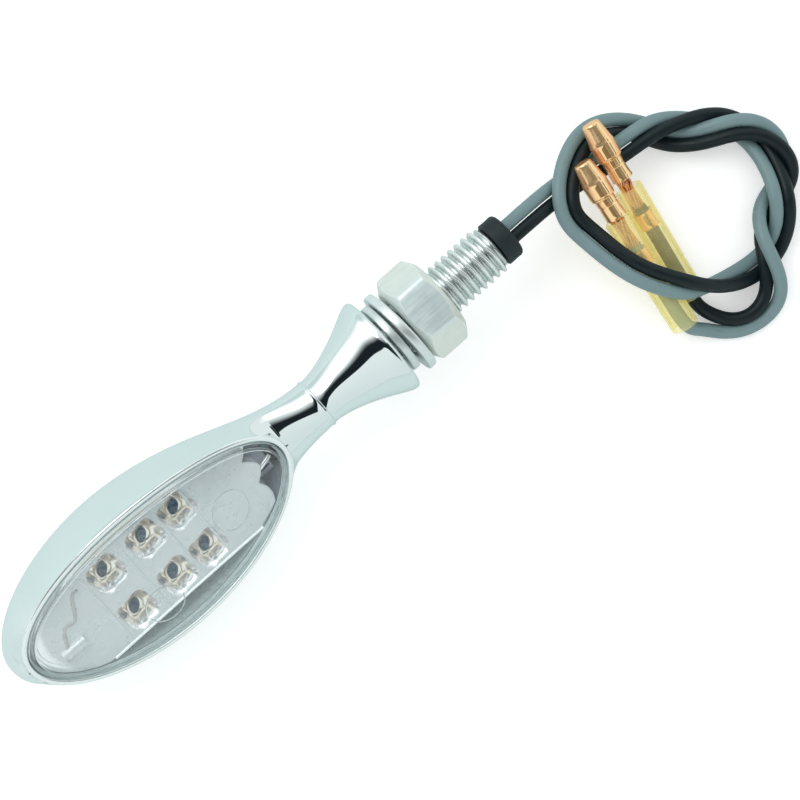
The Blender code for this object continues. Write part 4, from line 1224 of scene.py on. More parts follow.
def lock_washer_shape():
    """Split spring washer of softened square section, its ends apart along the axis."""
    steps = 110
    inner, outer = LOCK_WASHER_RADII
    start, end = LOCK_WASHER_X
    middle_x, middle_r = (start + end) / 2.0, (inner + outer) / 2.0
    half_x, half_r = (end - start) / 2.0, (outer - inner) / 2.0
    rings = []
    for k in range(steps + 1):
        share = k / steps
        angle = LOCK_WASHER_GAP_ANGLE + LOCK_WASHER_GAP / 2.0
        angle += (math.tau - LOCK_WASHER_GAP) * share
        lift = LOCK_WASHER_LIFT * (2.0 * share - 1.0)
        ring = []
        for j in range(24):
            around = math.tau * (j + 0.5) / 24
            reach = polar_radius(around, half_x, half_r, LOCK_WASHER_SQUARENESS)
            radius = middle_r + reach * math.sin(around)
            ring.append((middle_x + lift + reach * math.cos(around),
                         radius * math.cos(angle), radius * math.sin(angle)))
        rings.append(ring)
    return loft(rings)


def grommet_shape():
    """Rubber cap with a small rounding at its foot and a large one at its crown."""
    start, end = GROMMET_X
    radius = GROMMET_RADIUS
    profile = [(start, GROMMET_MOUTHS[0]), (start, radius - GROMMET_FOOT)]
    for k in range(1, 5):
        angle = math.pi / 2.0 * k / 4
        profile.append((start + GROMMET_FOOT * (1.0 - math.cos(angle)),
                        radius - GROMMET_FOOT * (1.0 - math.sin(angle))))
    profile += [(start + GROMMET_TAPER[0], radius - GROMMET_TAPER[1]),
                (end - GROMMET_CROWN - GROMMET_SHOULDER, radius)]
    for k in range(1, 9):
        angle = math.pi / 2.0 * k / 8
        profile.append((end - GROMMET_CROWN * (1.0 - math.sin(angle)),
                        radius - GROMMET_CROWN * (1.0 - math.cos(angle))))
    profile += [(end, GROMMET_MOUTHS[1]), (end, TINY)]
    return loft(round_rings(profile, 96))


# ---------------------------------------------------------------- connectors

def terminal_shape():
    """Rolled-sheet bullet, its barrel with a flared ear, a strip and the crimp band."""
    bore = [(TERMINAL_PROFILE[-1][0], BARREL_BORE_RADIUS), (BARREL_BORE_START, BARREL_BORE_RADIUS),
            (BARREL_BORE_START, TINY), (0.0, TINY)]

    def reshape(angle, x, radius):
        if radius <= BARREL_BORE_RADIUS:
            return x, radius
        off_seam = abs((angle - SEAM_ANGLE + math.pi) % math.tau - math.pi)
        seam = max(0.0, 1.0 - off_seam / SEAM_HALF_WIDTH)
        depth = SEAM_DEPTH * seam * ease(x, *SEAM_FADE)
        off_ear = abs((angle - EAR_ANGLE + math.pi) % math.tau - math.pi)
        ear = EAR_HEIGHT * math.exp(-(off_ear / EAR_SPREAD) ** 2) * ease(x, *EAR_SPAN)
        return x + EAR_LEAN * ear, radius - depth + ear

    profile = refine(TERMINAL_PROFILE, 0.5)
    body = turned(profile + bore, 120, reshape)
    return merge_shapes(body, strip_shape(), band_shape())


def refine(profile, longest):
    """Add stations so that no straight of an (x, radius) profile is longer than asked."""
    result = [profile[0]]
    for (x0, r0), (x1, r1) in zip(profile, profile[1:]):
        pieces = max(1, math.ceil(abs(x1 - x0) / longest))
        for k in range(1, pieces + 1):
            result.append((x0 + (x1 - x0) * k / pieces, r0 + (r1 - r0) * k / pieces))
    return result


def channel_ring(x, inner, outer, centre_angle, half_angle, steps=16):
    """Section of a bent sheet at x: its outer side, then back along its inner side."""
    ring = []
    for radius, order in ((outer, range(steps + 1)), (inner, range(steps, -1, -1))):
        for k in order:
            angle = centre_angle + half_angle * (2.0 * k / steps - 1.0)
            ring.append((x, radius * math.cos(angle), radius * math.sin(angle)))
    return ring


def strip_shape():
    """Gutter under the bare strands that joins the barrel to the crimp band."""
    rings = []
    for k in range(13):
        share = k / 12
        x = STRIP_SPAN[0] + (STRIP_SPAN[1] - STRIP_SPAN[0]) * share
        half_angle = STRIP_HALF_ANGLE * (STRIP_WAIST + (1.0 - STRIP_WAIST) * (2.0 * share - 1.0) ** 2)
        rings.append(channel_ring(x, *STRIP_RADII, -math.pi / 2.0, half_angle))
    return loft(rings)


def band_shape():
    """Crimp band rolled round the insulation, with a narrow gap on top and belled ends."""
    rings = []
    for k in range(15):
        share = k / 14
        x = CRIMP_SPAN[0] + (CRIMP_SPAN[1] - CRIMP_SPAN[0]) * share
        bell = CRIMP_BELL * (2.0 * share - 1.0) ** 4
        half_angle = math.pi - CRIMP_GAP / 2.0
        rings.append(channel_ring(x, CRIMP_RADII[0] + bell, CRIMP_RADII[1] + bell,
                                  -math.pi / 2.0, half_angle, 48))
    return loft(rings)


def strand_shapes(seed):
    """Bare copper strands, loosely twisted, bulging where they leave the barrel."""
    rng = random.Random(seed)
    shapes = []
    for number in range(STRAND_COUNT):
        inner = number < INNER_STRANDS
        ring_radius = 0.0 if number == 0 else STRAND_RING_RADII[0 if inner else 1]
        phase = math.tau * number / (4 if inner else 8) + rng.uniform(-0.2, 0.2)
        bulge = rng.uniform(0.1, 0.4)
        path = []
        for k in range(41):
            share = k / 40
            x = CONDUCTOR_SPAN[0] + (CONDUCTOR_SPAN[1] - CONDUCTOR_SPAN[0]) * share
            swell = bulge * math.exp(-((x - BULGE_X) / BULGE_SPREAD) ** 2)
            angle = phase + STRAND_TURNS * share + 0.25 * math.sin(7.0 * share + number)
            radius = ring_radius + (0.5 * swell if inner else swell)
            path.append(Vector((x, radius * math.cos(angle), radius * math.sin(angle))))
        shapes.append(tube(path, STRAND_RADIUS, 10)[:2])
    return merge_shapes(*shapes)


def sleeve_shape(length, seed):
    """Soft tube with rounded ends, one end cut aslant, and faint pinches along it."""
    inner, outer = SLEEVE_RADII
    wall = (outer - inner) / 2.0
    middle = (outer + inner) / 2.0
    drift = random.Random(seed).uniform(0.0, math.tau)

    def end_arc(x, side, first, last):
        """Half-round end of the wall, from one twelfth of a half turn to another."""
        arc = []
        for k in range(first, last + 1):
            angle = math.pi * k / 12
            arc.append((x + side * wall * SLEEVE_END_FLATNESS * math.sin(angle),
                        middle + wall * math.cos(angle)))
        return arc

    straight = [wall + (length - 2.0 * wall) * k / 60 for k in range(1, 60)]
    outside = [(x, outer) for x in straight]
    inside = [(x, inner) for x in reversed(straight)]
    near = list(reversed(end_arc(wall, -1.0, 0, 12)))
    profile = near[6:] + outside + end_arc(length - wall, 1.0, 0, 12) + inside + near[:6]

    def reshape(angle, x, radius):
        slope = SLEEVE_CUT * ease(x, length - SLEEVE_CUT_LENGTH, length)
        slope *= math.cos(angle - SLEEVE_CUT_ANGLE)
        squeeze = 0.0
        for share, depth in SLEEVE_PINCHES:
            off = x - length * share - PINCH_LEAN * math.cos(angle + drift)
            squeeze += depth * math.exp(-(off / PINCH_SPREAD) ** 2)
        oval = SLEEVE_OVAL * math.cos(2.0 * (angle - drift)) * math.sin(math.pi * x / length)
        return x - abs(slope) * 0.5 + slope * 0.5, radius - squeeze + oval

    return turned(profile, 72, reshape)


# ---------------------------------------------------------------- shader building blocks

class Graph:
    """Short calls for the shader nodes that the materials share."""

    def __init__(self, tree):
        self.tree = tree

    def node(self, kind, inputs=(), **settings):
        """New shader node with its settings and its inputs, given by name or number."""
        item = self.tree.nodes.new(kind)
        for name, value in settings.items():
            setattr(item, name, value)
        for name, value in dict(inputs).items():
            self.set(item.inputs[name], value)
        return item

    def set(self, socket, value):
        """Link another node's output to an input, or give the input a fixed value."""
        if isinstance(value, bpy.types.NodeSocket):
            self.tree.links.new(value, socket)
        elif isinstance(value, tuple) and socket.type == "RGBA" and len(value) == 3:
            socket.default_value = (*value, 1.0)
        else:
            socket.default_value = value

    def math(self, operation, first, second=0.0):
        return self.node("ShaderNodeMath", {0: first, 1: second}, operation=operation).outputs[0]

    def times(self, first, second):
        return self.math("MULTIPLY", first, second)

    def plus(self, first, second):
        return self.math("ADD", first, second)

    def vector(self, operation, first, second):
        item = self.node("ShaderNodeVectorMath", {0: first, 1: second}, operation=operation)
        return item.outputs["Value" if operation == "DOT_PRODUCT" else "Vector"]

    def length(self, vector):
        return self.node("ShaderNodeVectorMath", {0: vector}, operation="LENGTH").outputs["Value"]

    def parts(self, vector):
        """Outputs X, Y and Z of a vector."""
        return self.node("ShaderNodeSeparateXYZ", {0: vector}).outputs

    def joined(self, x, y, z):
        return self.node("ShaderNodeCombineXYZ", {"X": x, "Y": y, "Z": z}).outputs[0]

    def place(self):
        """Position in the piece's own frame, in metres."""
        return self.node("ShaderNodeTexCoord").outputs["Object"]

    def noise(self, vector, scale, detail=3.0, roughness=0.5):
        return self.node("ShaderNodeTexNoise", {
            "Vector": vector, "Scale": scale, "Detail": detail,
            "Roughness": roughness}).outputs["Fac"]

    def grain(self, vector, scales, detail=3.0, roughness=0.5):
        """Noise stretched by its own scale along each axis."""
        return self.noise(self.vector("MULTIPLY", vector, scales), 1.0, detail, roughness)

    def cells(self, vector, scale):
        return self.node("ShaderNodeTexVoronoi",
                         {"Vector": vector, "Scale": scale}).outputs["Distance"]

    def span(self, value, low, high, new_low=0.0, new_high=1.0):
        """Smooth step from one pair of values to another."""
        return self.node("ShaderNodeMapRange", {
            "Value": value, "From Min": low, "From Max": high, "To Min": new_low,
            "To Max": new_high}, interpolation_type="SMOOTHSTEP").outputs["Result"]

    def mix(self, share, first, second):
        """Colour between two, by share."""
        item = self.node("ShaderNodeMix", data_type="RGBA")
        self.set(item.inputs[0], share)
        self.set(item.inputs[6], first)
        self.set(item.inputs[7], second)
        return item.outputs[2]

    def facing(self, blend=0.5):
        """0 where the surface faces the viewer, rising towards its edges."""
        return self.node("ShaderNodeLayerWeight", {"Blend": blend}).outputs["Facing"]

    def bump(self, height, distance, strength=1.0, normal=None):
        inputs = {"Height": height, "Distance": distance, "Strength": strength}
        if normal is not None:
            inputs["Normal"] = normal
        return self.node("ShaderNodeBump", inputs).outputs["Normal"]

    def axis_distance(self, vector):
        """Distance from the local X axis, in metres."""
        return self.length(self.vector("MULTIPLY", vector, (0.0, 1.0, 1.0)))

    def around(self, vector):
        """Angle about the local X axis."""
        parts = self.parts(vector)
        return self.math("ARCTAN2", parts["Z"], parts["Y"])

    def wound(self, place, by_radius, by_angle, by_x):
        """Coordinates for marks that run round the local X axis."""
        return self.joined(self.times(self.axis_distance(place), by_radius),
                           self.times(self.around(place), by_angle),
                           self.vector("DOT_PRODUCT", place, (by_x, 0.0, 0.0)))


def finish(graph, shader, **inputs):
    """Fill in a Principled shader's inputs, named as in Blender but with underscores."""
    for key, value in inputs.items():
        graph.set(shader.inputs[key.replace("_", " ").title().replace("Ior", "IOR")], value)


def new_material(name, **inputs):
    """Material with a Principled shader, and what is needed to fill it in."""
    material = bpy.data.materials.new(name)
    material.use_nodes = True
    graph = Graph(material.node_tree)
    shader = material.node_tree.nodes["Principled BSDF"]
    finish(graph, shader, **inputs)
    return material, graph, shader


def cloud_material(name, noise, dark, light, rough, relief, **inputs):
    """Material whose colour, roughness and fine relief all follow one noise."""
    material, graph, shader = new_material(name, **inputs)
    cloud = graph.noise(graph.place(), *noise)
    finish(graph, shader, base_color=graph.mix(cloud, dark, light),
           roughness=graph.span(cloud, 0.3, 0.7, *rough), normal=graph.bump(cloud, *relief))
    return material


def tent_angles(graph, direction):
    """Angles of a direction about the stud's cross axis, and up from the stud-camera plane."""
    ahead = graph.vector("DOT_PRODUCT", direction, tuple(TO_CAMERA))
    along = graph.vector("DOT_PRODUCT", direction, tuple(-ALONG_STUD))
    across = graph.vector("DOT_PRODUCT", direction, tuple(ACROSS_STUD))
    return graph.math("ARCTAN2", along, ahead), graph.math("ARCSINE", across)


def window(graph, value, edges):
    """1 between the two middle edges, easing to 0 at the outer two."""
    rise = graph.span(value, edges[0], edges[1])
    fall = graph.span(value, edges[2], edges[3], 1.0, 0.0)
    return graph.times(rise, fall)


# ---------------------------------------------------------------- metals

def chrome_material():
    """Bright plating: faint waviness, hairline marks, thin smudges and a softer nose."""
    material, graph, shader = new_material("chrome_plate", metallic=1.0)
    place = graph.place()
    smudge = graph.noise(place, 130.0, 4.0, 0.6)
    hair = graph.grain(place, (90.0, 2600.0, 2600.0), 2.0)
    tint = graph.mix(smudge, (0.755, 0.825, 0.825), (0.825, 0.88, 0.88))
    along = graph.parts(place)["X"]
    rough = graph.plus(graph.span(smudge, 0.4, 0.75, 0.025, 0.07),
                       graph.span(hair, 0.55, 0.8, 0.0, 0.03))
    rough = graph.plus(rough, graph.span(along, -0.066, -0.056, 0.3, 0.0))
    wave = graph.bump(graph.noise(place, 260.0, 1.0), 0.00001, 0.25)
    finish(graph, shader, base_color=tint, roughness=rough,
           normal=graph.bump(hair, 0.0000006, 0.3, wave))
    return material


def lip_material():
    """Plating on the narrow lip, brushed softer than the body."""
    return cloud_material("chrome_lip", (500.0, 4.0, 0.6), (0.80, 0.875, 0.87),
                          (0.90, 0.945, 0.94), (0.16, 0.24), (0.000002, 0.2), metallic=0.75)


def cavity_material():
    """Thin, hazy plating left inside the lamp chamber, darker and bluer towards its neck end, with
    painted light on its +Y side: a lighter tint and a glow.
    """
    material, graph, shader = new_material("hazy_plate", metallic=0.25)
    place = graph.place()
    cloud = graph.noise(place, 420.0, 5.0, 0.6)
    parts = graph.parts(place)
    neck_end = graph.span(parts["X"], -0.029, -0.027)
    painted_lit_side = graph.span(parts["Y"], 0.003, 0.006)
    streak = graph.grain(place, (160.0, 900.0, 900.0), 3.0, 0.6)
    tint = graph.mix(streak, (0.50, 0.61, 0.63), (0.80, 0.87, 0.87))
    # Painted light: the chamber's +Y side is tinted lighter.
    tint = graph.mix(painted_lit_side, tint, (0.90, 0.95, 0.95))
    tint = graph.mix(neck_end, tint, (0.42, 0.49, 0.56))
    # Painted glow on the +Y side, fading out towards the neck end.
    glow = graph.times(painted_lit_side, graph.math("SUBTRACT", 0.32, neck_end))
    finish(graph, shader, base_color=tint, emission_color=(0.86, 0.95, 0.96),
           emission_strength=graph.math("MAXIMUM", glow, 0.0),
           roughness=graph.span(cloud, 0.3, 0.7, 0.16, 0.34),
           normal=graph.bump(cloud, 0.00004, 0.35))
    return material


def zinc_material(name, grain_scale):
    """Clear-passivated zinc: bluish face on, cream at a glance, drawn grain, specks and a painted
    highlight along its rounded edges.
    """
    material, graph, shader = new_material(name, metallic=0.6)
    place = graph.place()
    grain = graph.grain(place, grain_scale, 4.0, 0.65)
    cloud = graph.noise(place, 330.0, 5.0, 0.65)
    pits = graph.span(graph.cells(place, 620.0), 0.06, 0.11, 1.0, 0.0)
    few = graph.times(pits, graph.span(graph.noise(place, 300.0), 0.6, 0.7))
    turn = graph.span(graph.facing(0.5), 0.12, 0.62)
    face_on = graph.mix(cloud, (0.56, 0.69, 0.69), (0.79, 0.89, 0.88))
    aslant = graph.mix(cloud, (0.65, 0.70, 0.66), (0.86, 0.88, 0.82))
    tint = graph.mix(turn, face_on, aslant)
    tint = graph.mix(graph.span(grain, 0.35, 0.75, 0.0, 0.28), tint, (0.95, 0.97, 0.96))
    tint = graph.mix(graph.times(few, 0.55), tint, (0.16, 0.17, 0.16))
    # Painted highlight: where the rounded edges turn, the colour is lifted towards near-white.
    eased = graph.node("ShaderNodeBevel", {"Radius": 0.00035}, samples=4).outputs["Normal"]
    square = graph.node("ShaderNodeNewGeometry").outputs["Normal"]
    turned_by = graph.vector("DOT_PRODUCT", eased, square)
    painted_edge_highlight = graph.span(turned_by, 0.90, 0.995, 0.75, 0.0)
    tint = graph.mix(painted_edge_highlight, tint, (0.95, 0.98, 0.97))
    rough = graph.plus(graph.span(grain, 0.3, 0.7, 0.36, 0.46),
                       graph.span(cloud, 0.35, 0.7, 0.0, 0.08))
    relief = graph.math("SUBTRACT", grain, graph.times(few, 1.5))
    finish(graph, shader, base_color=tint, roughness=rough,
           normal=graph.bump(relief, 0.000012, 0.6))
    return material


def thread_material():
    """Rolled thread: bright crests, roots painted darker as shade, with dark flecks of dirt in them.
    """
    material, graph, shader = new_material("zinc_thread", metallic=0.85)
    place = graph.place()
    depth = graph.span(graph.axis_distance(place), 0.0033, 0.00385)
    streak = graph.noise(graph.wound(place, 2200.0, 2.2, 900.0), 1.0, 4.0, 0.65)
    fleck = graph.span(graph.noise(place, 1500.0, 3.0, 0.7), 0.56, 0.68)
    dirt = graph.times(fleck, graph.math("SUBTRACT", 1.0, depth))
    crest = graph.mix(streak, (0.76, 0.81, 0.80), (0.90, 0.925, 0.915))
    # Painted shade: the thread's roots are tinted darker than its crests.
    shaded_root = graph.mix(streak, (0.48, 0.54, 0.54), (0.68, 0.73, 0.72))
    tint = graph.mix(depth, shaded_root, crest)
    tint = graph.mix(graph.times(dirt, 0.6), tint, (0.12, 0.13, 0.13))
    finish(graph, shader, base_color=tint,
           roughness=graph.span(streak, 0.3, 0.75, 0.14, 0.32),
           normal=graph.bump(streak, 0.00001, 0.5))
    return material


def washer_material(name):
    """Washer with turned rim, tumbled faces and small nicks."""
    material, graph, shader = new_material(name, metallic=0.7)
    place = graph.place()
    streak = graph.noise(graph.wound(place, 3000.0, 1.6, 3600.0), 1.0, 3.0, 0.6)
    tumble = graph.noise(place, 900.0, 4.0, 0.6)
    nick = graph.span(graph.cells(place, 900.0), 0.05, 0.12, 1.0, 0.0)
    few = graph.times(nick, graph.span(graph.noise(place, 500.0), 0.55, 0.68))
    tint = graph.mix(streak, (0.66, 0.73, 0.73), (0.82, 0.87, 0.865))
    tint = graph.mix(graph.times(few, 0.5), tint, (0.25, 0.27, 0.26))
    relief = graph.math("SUBTRACT", graph.plus(streak, tumble), few)
    finish(graph, shader, base_color=tint,
           roughness=graph.span(tumble, 0.3, 0.7, 0.3, 0.44),
           normal=graph.bump(relief, 0.000007, 0.4))
    return material


def brass_material():
    """Formed brass: rosy and cream polish, drawn lines, and a painted reflection of the dark gap."""
    material, graph, shader = new_material("bullet_brass", metallic=0.8)
    place = graph.place()
    cloud = graph.noise(place, 480.0, 4.0, 0.6)
    drawn = graph.grain(place, (160.0, 3200.0, 3200.0), 3.0, 0.6)
    rosy = graph.grain(place, (120.0, 900.0, 900.0), 2.0)
    turned_marks = graph.grain(place, (4200.0, 200.0, 200.0), 2.0)
    tint = graph.mix(cloud, (0.98, 0.61, 0.28), (1.0, 0.81, 0.48))
    tint = graph.mix(graph.span(rosy, 0.42, 0.66, 0.0, 0.85), tint, (0.96, 0.48, 0.26))
    side = graph.span(graph.facing(0.5), 0.45, 0.9)
    tint = graph.mix(side, tint, (0.93, 0.47, 0.14))
    tint = graph.mix(graph.span(drawn, 0.55, 0.8, 0.0, 0.35), tint, (0.80, 0.42, 0.24))
    # Painted reflection: dark brown where the mirror direction points into the dark gap.
    mirrored = graph.node("ShaderNodeTexCoord").outputs["Reflection"]
    alpha, beta = tent_angles(graph, mirrored)
    shade = graph.times(window(graph, beta, MIRRORED_GAP_BETA), window(graph, alpha, MIRRORED_GAP_ALPHA))
    tint = graph.mix(graph.times(shade, 0.9), tint, (0.14, 0.075, 0.02))
    rough = graph.span(cloud, 0.3, 0.7, 0.14, 0.24)
    lines = graph.plus(drawn, graph.times(turned_marks, 0.6))
    # The orange emission is a painted glow.
    finish(graph, shader, base_color=tint, roughness=rough,
           normal=graph.bump(lines, 0.000008, 0.5),
           emission_color=(1.0, 0.50, 0.16), emission_strength=0.05)
    return material


def copper_material():
    """Bare strands, their sides towards the outline painted dark brown as shade between them."""
    material, graph, shader = new_material("strand_copper", metallic=1.0)
    place = graph.place()
    cloud = graph.noise(place, 900.0, 4.0, 0.6)
    # Painted shade: towards each strand's outline, as seen, the colour goes dark brown.
    edge = graph.facing(0.4)
    tint = graph.mix(cloud, (0.90, 0.36, 0.17), (1.0, 0.60, 0.36))
    tint = graph.mix(graph.span(edge, 0.35, 0.95), tint, (0.30, 0.10, 0.06))
    finish(graph, shader, base_color=tint, roughness=graph.span(cloud, 0.3, 0.7, 0.2, 0.4),
           normal=graph.bump(cloud, 0.00001, 0.4))
    return material


def solder_material():
    """Bright solder with a dull skin in patches."""
    return cloud_material("solder_joint", (1300.0, 4.0, 0.6), (0.52, 0.53, 0.52),
                          (0.78, 0.78, 0.76), (0.12, 0.4), (0.00003, 0.4), metallic=1.0)


# ---------------------------------------------------------------- plastics and rubber

def rubber_material():
    """Moulded rubber: matt, dusty in patches, with a painted sheen towards its outline, finely
    pebbled.
    """
    material, graph, shader = new_material("moulded_rubber", specular_ior_level=0.25)
    place = graph.place()
    dust = graph.noise(place, 520.0, 5.0, 0.65)
    pebble = graph.noise(place, 3800.0, 2.0, 0.6)
    # Painted sheen: the cap's outline, as seen, is tinted lighter.
    rim = graph.span(graph.facing(0.35), 0.45, 0.95, 0.0, 0.4)
    tint = graph.mix(dust, (0.008, 0.016, 0.018), (0.019, 0.031, 0.034))
    tint = graph.mix(rim, tint, (0.045, 0.062, 0.065))
    finish(graph, shader, base_color=tint, roughness=graph.span(dust, 0.3, 0.7, 0.42, 0.68),
           normal=graph.bump(pebble, 0.00002, 0.5))
    return material


def insulation_material(name, dark, light, sheen):
    """Extruded insulation: lengthwise streaks, mottled sheen and scattered scuffs."""
    material, graph, shader = new_material(name, specular_ior_level=sheen)
    uv = graph.node("ShaderNodeUVMap", uv_map="along").outputs["UV"]
    parts = graph.parts(uv)
    angle = graph.times(parts["Y"], math.tau)
    wrapped = graph.joined(graph.times(parts["X"], 70.0),
                           graph.times(graph.math("COSINE", angle), 5.5),
                           graph.times(graph.math("SINE", angle), 5.5))
    streak = graph.noise(wrapped, 1.0, 4.0, 0.6)
    place = graph.place()
    mottle = graph.noise(place, 650.0, 4.0, 0.6)
    scuff = graph.grain(wrapped, (6.0, 1.4, 1.4), 5.0, 0.7)
    scuff = graph.span(scuff, 0.66, 0.78, 0.0, 0.35)
    tint = graph.mix(graph.times(graph.plus(streak, mottle), 0.5), dark, light)
    tint = graph.mix(scuff, tint, tuple(0.5 * value + 0.18 for value in light))
    relief = graph.plus(streak, graph.times(mottle, 0.35))
    finish(graph, shader, base_color=tint, roughness=graph.span(mottle, 0.3, 0.7, 0.34, 0.5),
           normal=graph.bump(relief, 0.00002, 0.45))
    return material


def sleeve_material():
    """Clear yellow vinyl: see-through face on, deeper and milkier towards its edges, with a painted
    glow.
    """
    material, graph, shader = new_material("sleeve_vinyl_clear", coat_weight=0.35,
                                           coat_roughness=0.12, subsurface_weight=0.0)
    place = graph.place()
    cloud = graph.noise(place, 420.0, 4.0, 0.6)
    edge = graph.facing(0.5)
    tint = graph.mix(cloud, (0.97, 0.89, 0.48), (1.0, 0.95, 0.64))
    tint = graph.mix(graph.span(edge, 0.35, 0.9), tint, (0.95, 0.86, 0.30))
    # The pale yellow emission below is a painted glow.
    finish(graph, shader, base_color=tint, roughness=graph.span(cloud, 0.3, 0.7, 0.16, 0.3),
           normal=graph.bump(graph.noise(place, 700.0, 3.0), 0.00002, 0.35),
           emission_color=(1.0, 0.90, 0.42), emission_strength=0.24)
    glow = graph.node("ShaderNodeBsdfTranslucent", {"Color": tint}).outputs[0]
    body = graph.node("ShaderNodeMixShader", {0: 0.45, 1: shader.outputs[0], 2: glow}).outputs[0]
    clear_tint = graph.mix(graph.span(edge, 0.2, 0.95), (1.0, 0.985, 0.86), (0.98, 0.94, 0.68))
    clear = graph.node("ShaderNodeBsdfTransparent", {"Color": clear_tint}).outputs[0]
    milk = graph.plus(graph.span(edge, 0.2, 1.0, 0.18, 0.5),
                      graph.span(cloud, 0.35, 0.8, 0.0, 0.08))
    both = graph.node("ShaderNodeMixShader", {0: milk, 1: clear, 2: body}).outputs[0]
    output = material.node_tree.nodes["Material Output"]
    graph.set(output.inputs["Surface"], both)
    return material


def lens_material():
    """Clear moulded cover: flow lines, a few hairline scratches, frosted outer walls."""
    material, graph, shader = new_material("cover_clear", transmission_weight=1.0, ior=1.49)
    place = graph.place()
    flow = graph.grain(place, (110.0, 260.0, 260.0), 3.0, 0.55)
    scratch = graph.grain(place, (260.0, 4200.0, 900.0), 2.0)
    tint = graph.mix(flow, (0.93, 0.965, 0.965), (0.985, 0.995, 0.995))
    fine = graph.bump(graph.span(scratch, 0.72, 0.8), 0.000002, 0.25)
    normal = graph.node("ShaderNodeTexCoord").outputs["Normal"]
    upward = graph.math("ABSOLUTE", graph.parts(normal)["Z"])
    share = graph.vector("SUBTRACT", place, (FROST_CENTRE_X * MM, 0.0, 0.0))
    share = graph.vector("MULTIPLY", share, (1.0 / (FROST_REACH[0] * MM),
                                             1.0 / (FROST_REACH[1] * MM), 0.0))
    wall = graph.times(graph.span(upward, 0.25, 0.55, 1.0, 0.0),
                       graph.span(graph.length(share), *FROST_START))
    finish(graph, shader, base_color=graph.mix(wall, tint, (0.78, 0.86, 0.865)),
           roughness=graph.plus(graph.span(scratch, 0.68, 0.82, 0.0, 0.05),
                                graph.times(wall, 0.3)),
           transmission_weight=graph.math("SUBTRACT", 1.0, graph.times(wall, 0.75)),
           normal=graph.bump(flow, 0.00003, 0.3, fine))
    let_light_in(material, graph, shader, (0.96, 0.98, 0.98))
    return material


def let_light_in(material, graph, shader, tint):
    """Clear plastic that does not shade what lies under it from the lights."""
    open_way = graph.node("ShaderNodeBsdfTransparent", {"Color": tint}).outputs[0]
    shadow = graph.node("ShaderNodeLightPath").outputs["Is Shadow Ray"]
    both = graph.node("ShaderNodeMixShader", {0: shadow, 1: shader.outputs[0], 2: open_way})
    graph.set(material.node_tree.nodes["Material Output"].inputs["Surface"], both.outputs[0])


def reflector_material():
    """Vacuum-plated plastic, pale and soft on top, glossier and warmer down in the bowls, with a
    faint painted glow.
    """
    material, graph, shader = new_material("plated_reflector")
    place = graph.place()
    cloud = graph.noise(place, 380.0, 4.0, 0.6)
    ripple = graph.grain(place, (700.0, 160.0, 160.0), 2.0)
    height = graph.parts(place)["Z"]
    bowl = graph.span(height, 0.0026, 0.00292, 1.0, 0.0)
    tint = graph.mix(cloud, (0.76, 0.80, 0.81), (0.88, 0.91, 0.92))
    deep = graph.mix(graph.span(height, 0.0010, 0.0022), (0.97, 0.91, 0.83), (0.94, 0.94, 0.95))
    # The faint emission is a painted glow over the whole reflector.
    finish(graph, shader, base_color=graph.mix(bowl, tint, deep),
           metallic=graph.plus(0.2, graph.times(bowl, 0.65)),
           roughness=graph.math("SUBTRACT", graph.span(cloud, 0.3, 0.7, 0.24, 0.4),
                                graph.times(bowl, 0.22)),
           normal=graph.bump(graph.plus(ripple, cloud), 0.00003, 0.3),
           emission_color=(0.86, 0.90, 0.92), emission_strength=0.07)
    return material


def edge_material():
    """Bright glowing bead on the plated plastic's edge: a painted highlight."""
    return cloud_material("plated_edge_painted_highlight", (900.0, 4.0, 0.6), (0.86, 0.89, 0.90),
                          (0.97, 0.98, 0.98), (0.15, 0.3), (0.00001, 0.3), metallic=0.3,
                          emission_color=(0.93, 0.97, 1.0), emission_strength=0.3)


def bead_material():
    """The same plastic where the plating is thin and brownish."""
    return cloud_material("thin_plating", (700.0, 4.0, 0.6), (0.62, 0.61, 0.61),
                          (0.80, 0.79, 0.78), (0.2, 0.4), (0.00003, 0.3), metallic=0.2)


def resin_material():
    """Lamp resin, clear with a faint warm cast."""
    material, graph, shader = new_material("lamp_resin", transmission_weight=1.0, ior=1.5)
    cloud = graph.noise(graph.place(), 900.0, 3.0)
    finish(graph, shader, base_color=graph.mix(cloud, (0.97, 0.93, 0.86), (1.0, 0.985, 0.96)),
           roughness=graph.span(cloud, 0.3, 0.7, 0.0, 0.04))
    let_light_in(material, graph, shader, (0.98, 0.96, 0.93))
    return material


def gilt_material():
    """Gilded cup that carries the lamp's die."""
    return cloud_material("lamp_gilt", (1500.0, 3.0), (0.90, 0.76, 0.58), (0.98, 0.93, 0.84),
                          (0.15, 0.3), (0.00001, 0.3), metallic=0.6)


def die_material():
    """Lamp die: slate blue with a paler window."""
    return cloud_material("lamp_die", (1600.0, 3.0), (0.045, 0.085, 0.15), (0.16, 0.24, 0.34),
                          (0.2, 0.35), (0.00001, 0.3), metallic=0.3)


def sealant_material():
    """Grey bead of sealant under the lens edge."""
    return cloud_material("sealant", (600.0, 4.0, 0.6), (0.70, 0.80, 0.81), (0.86, 0.93, 0.93),
                          (0.3, 0.5), (0.00003, 0.4), specular_ior_level=0.4)


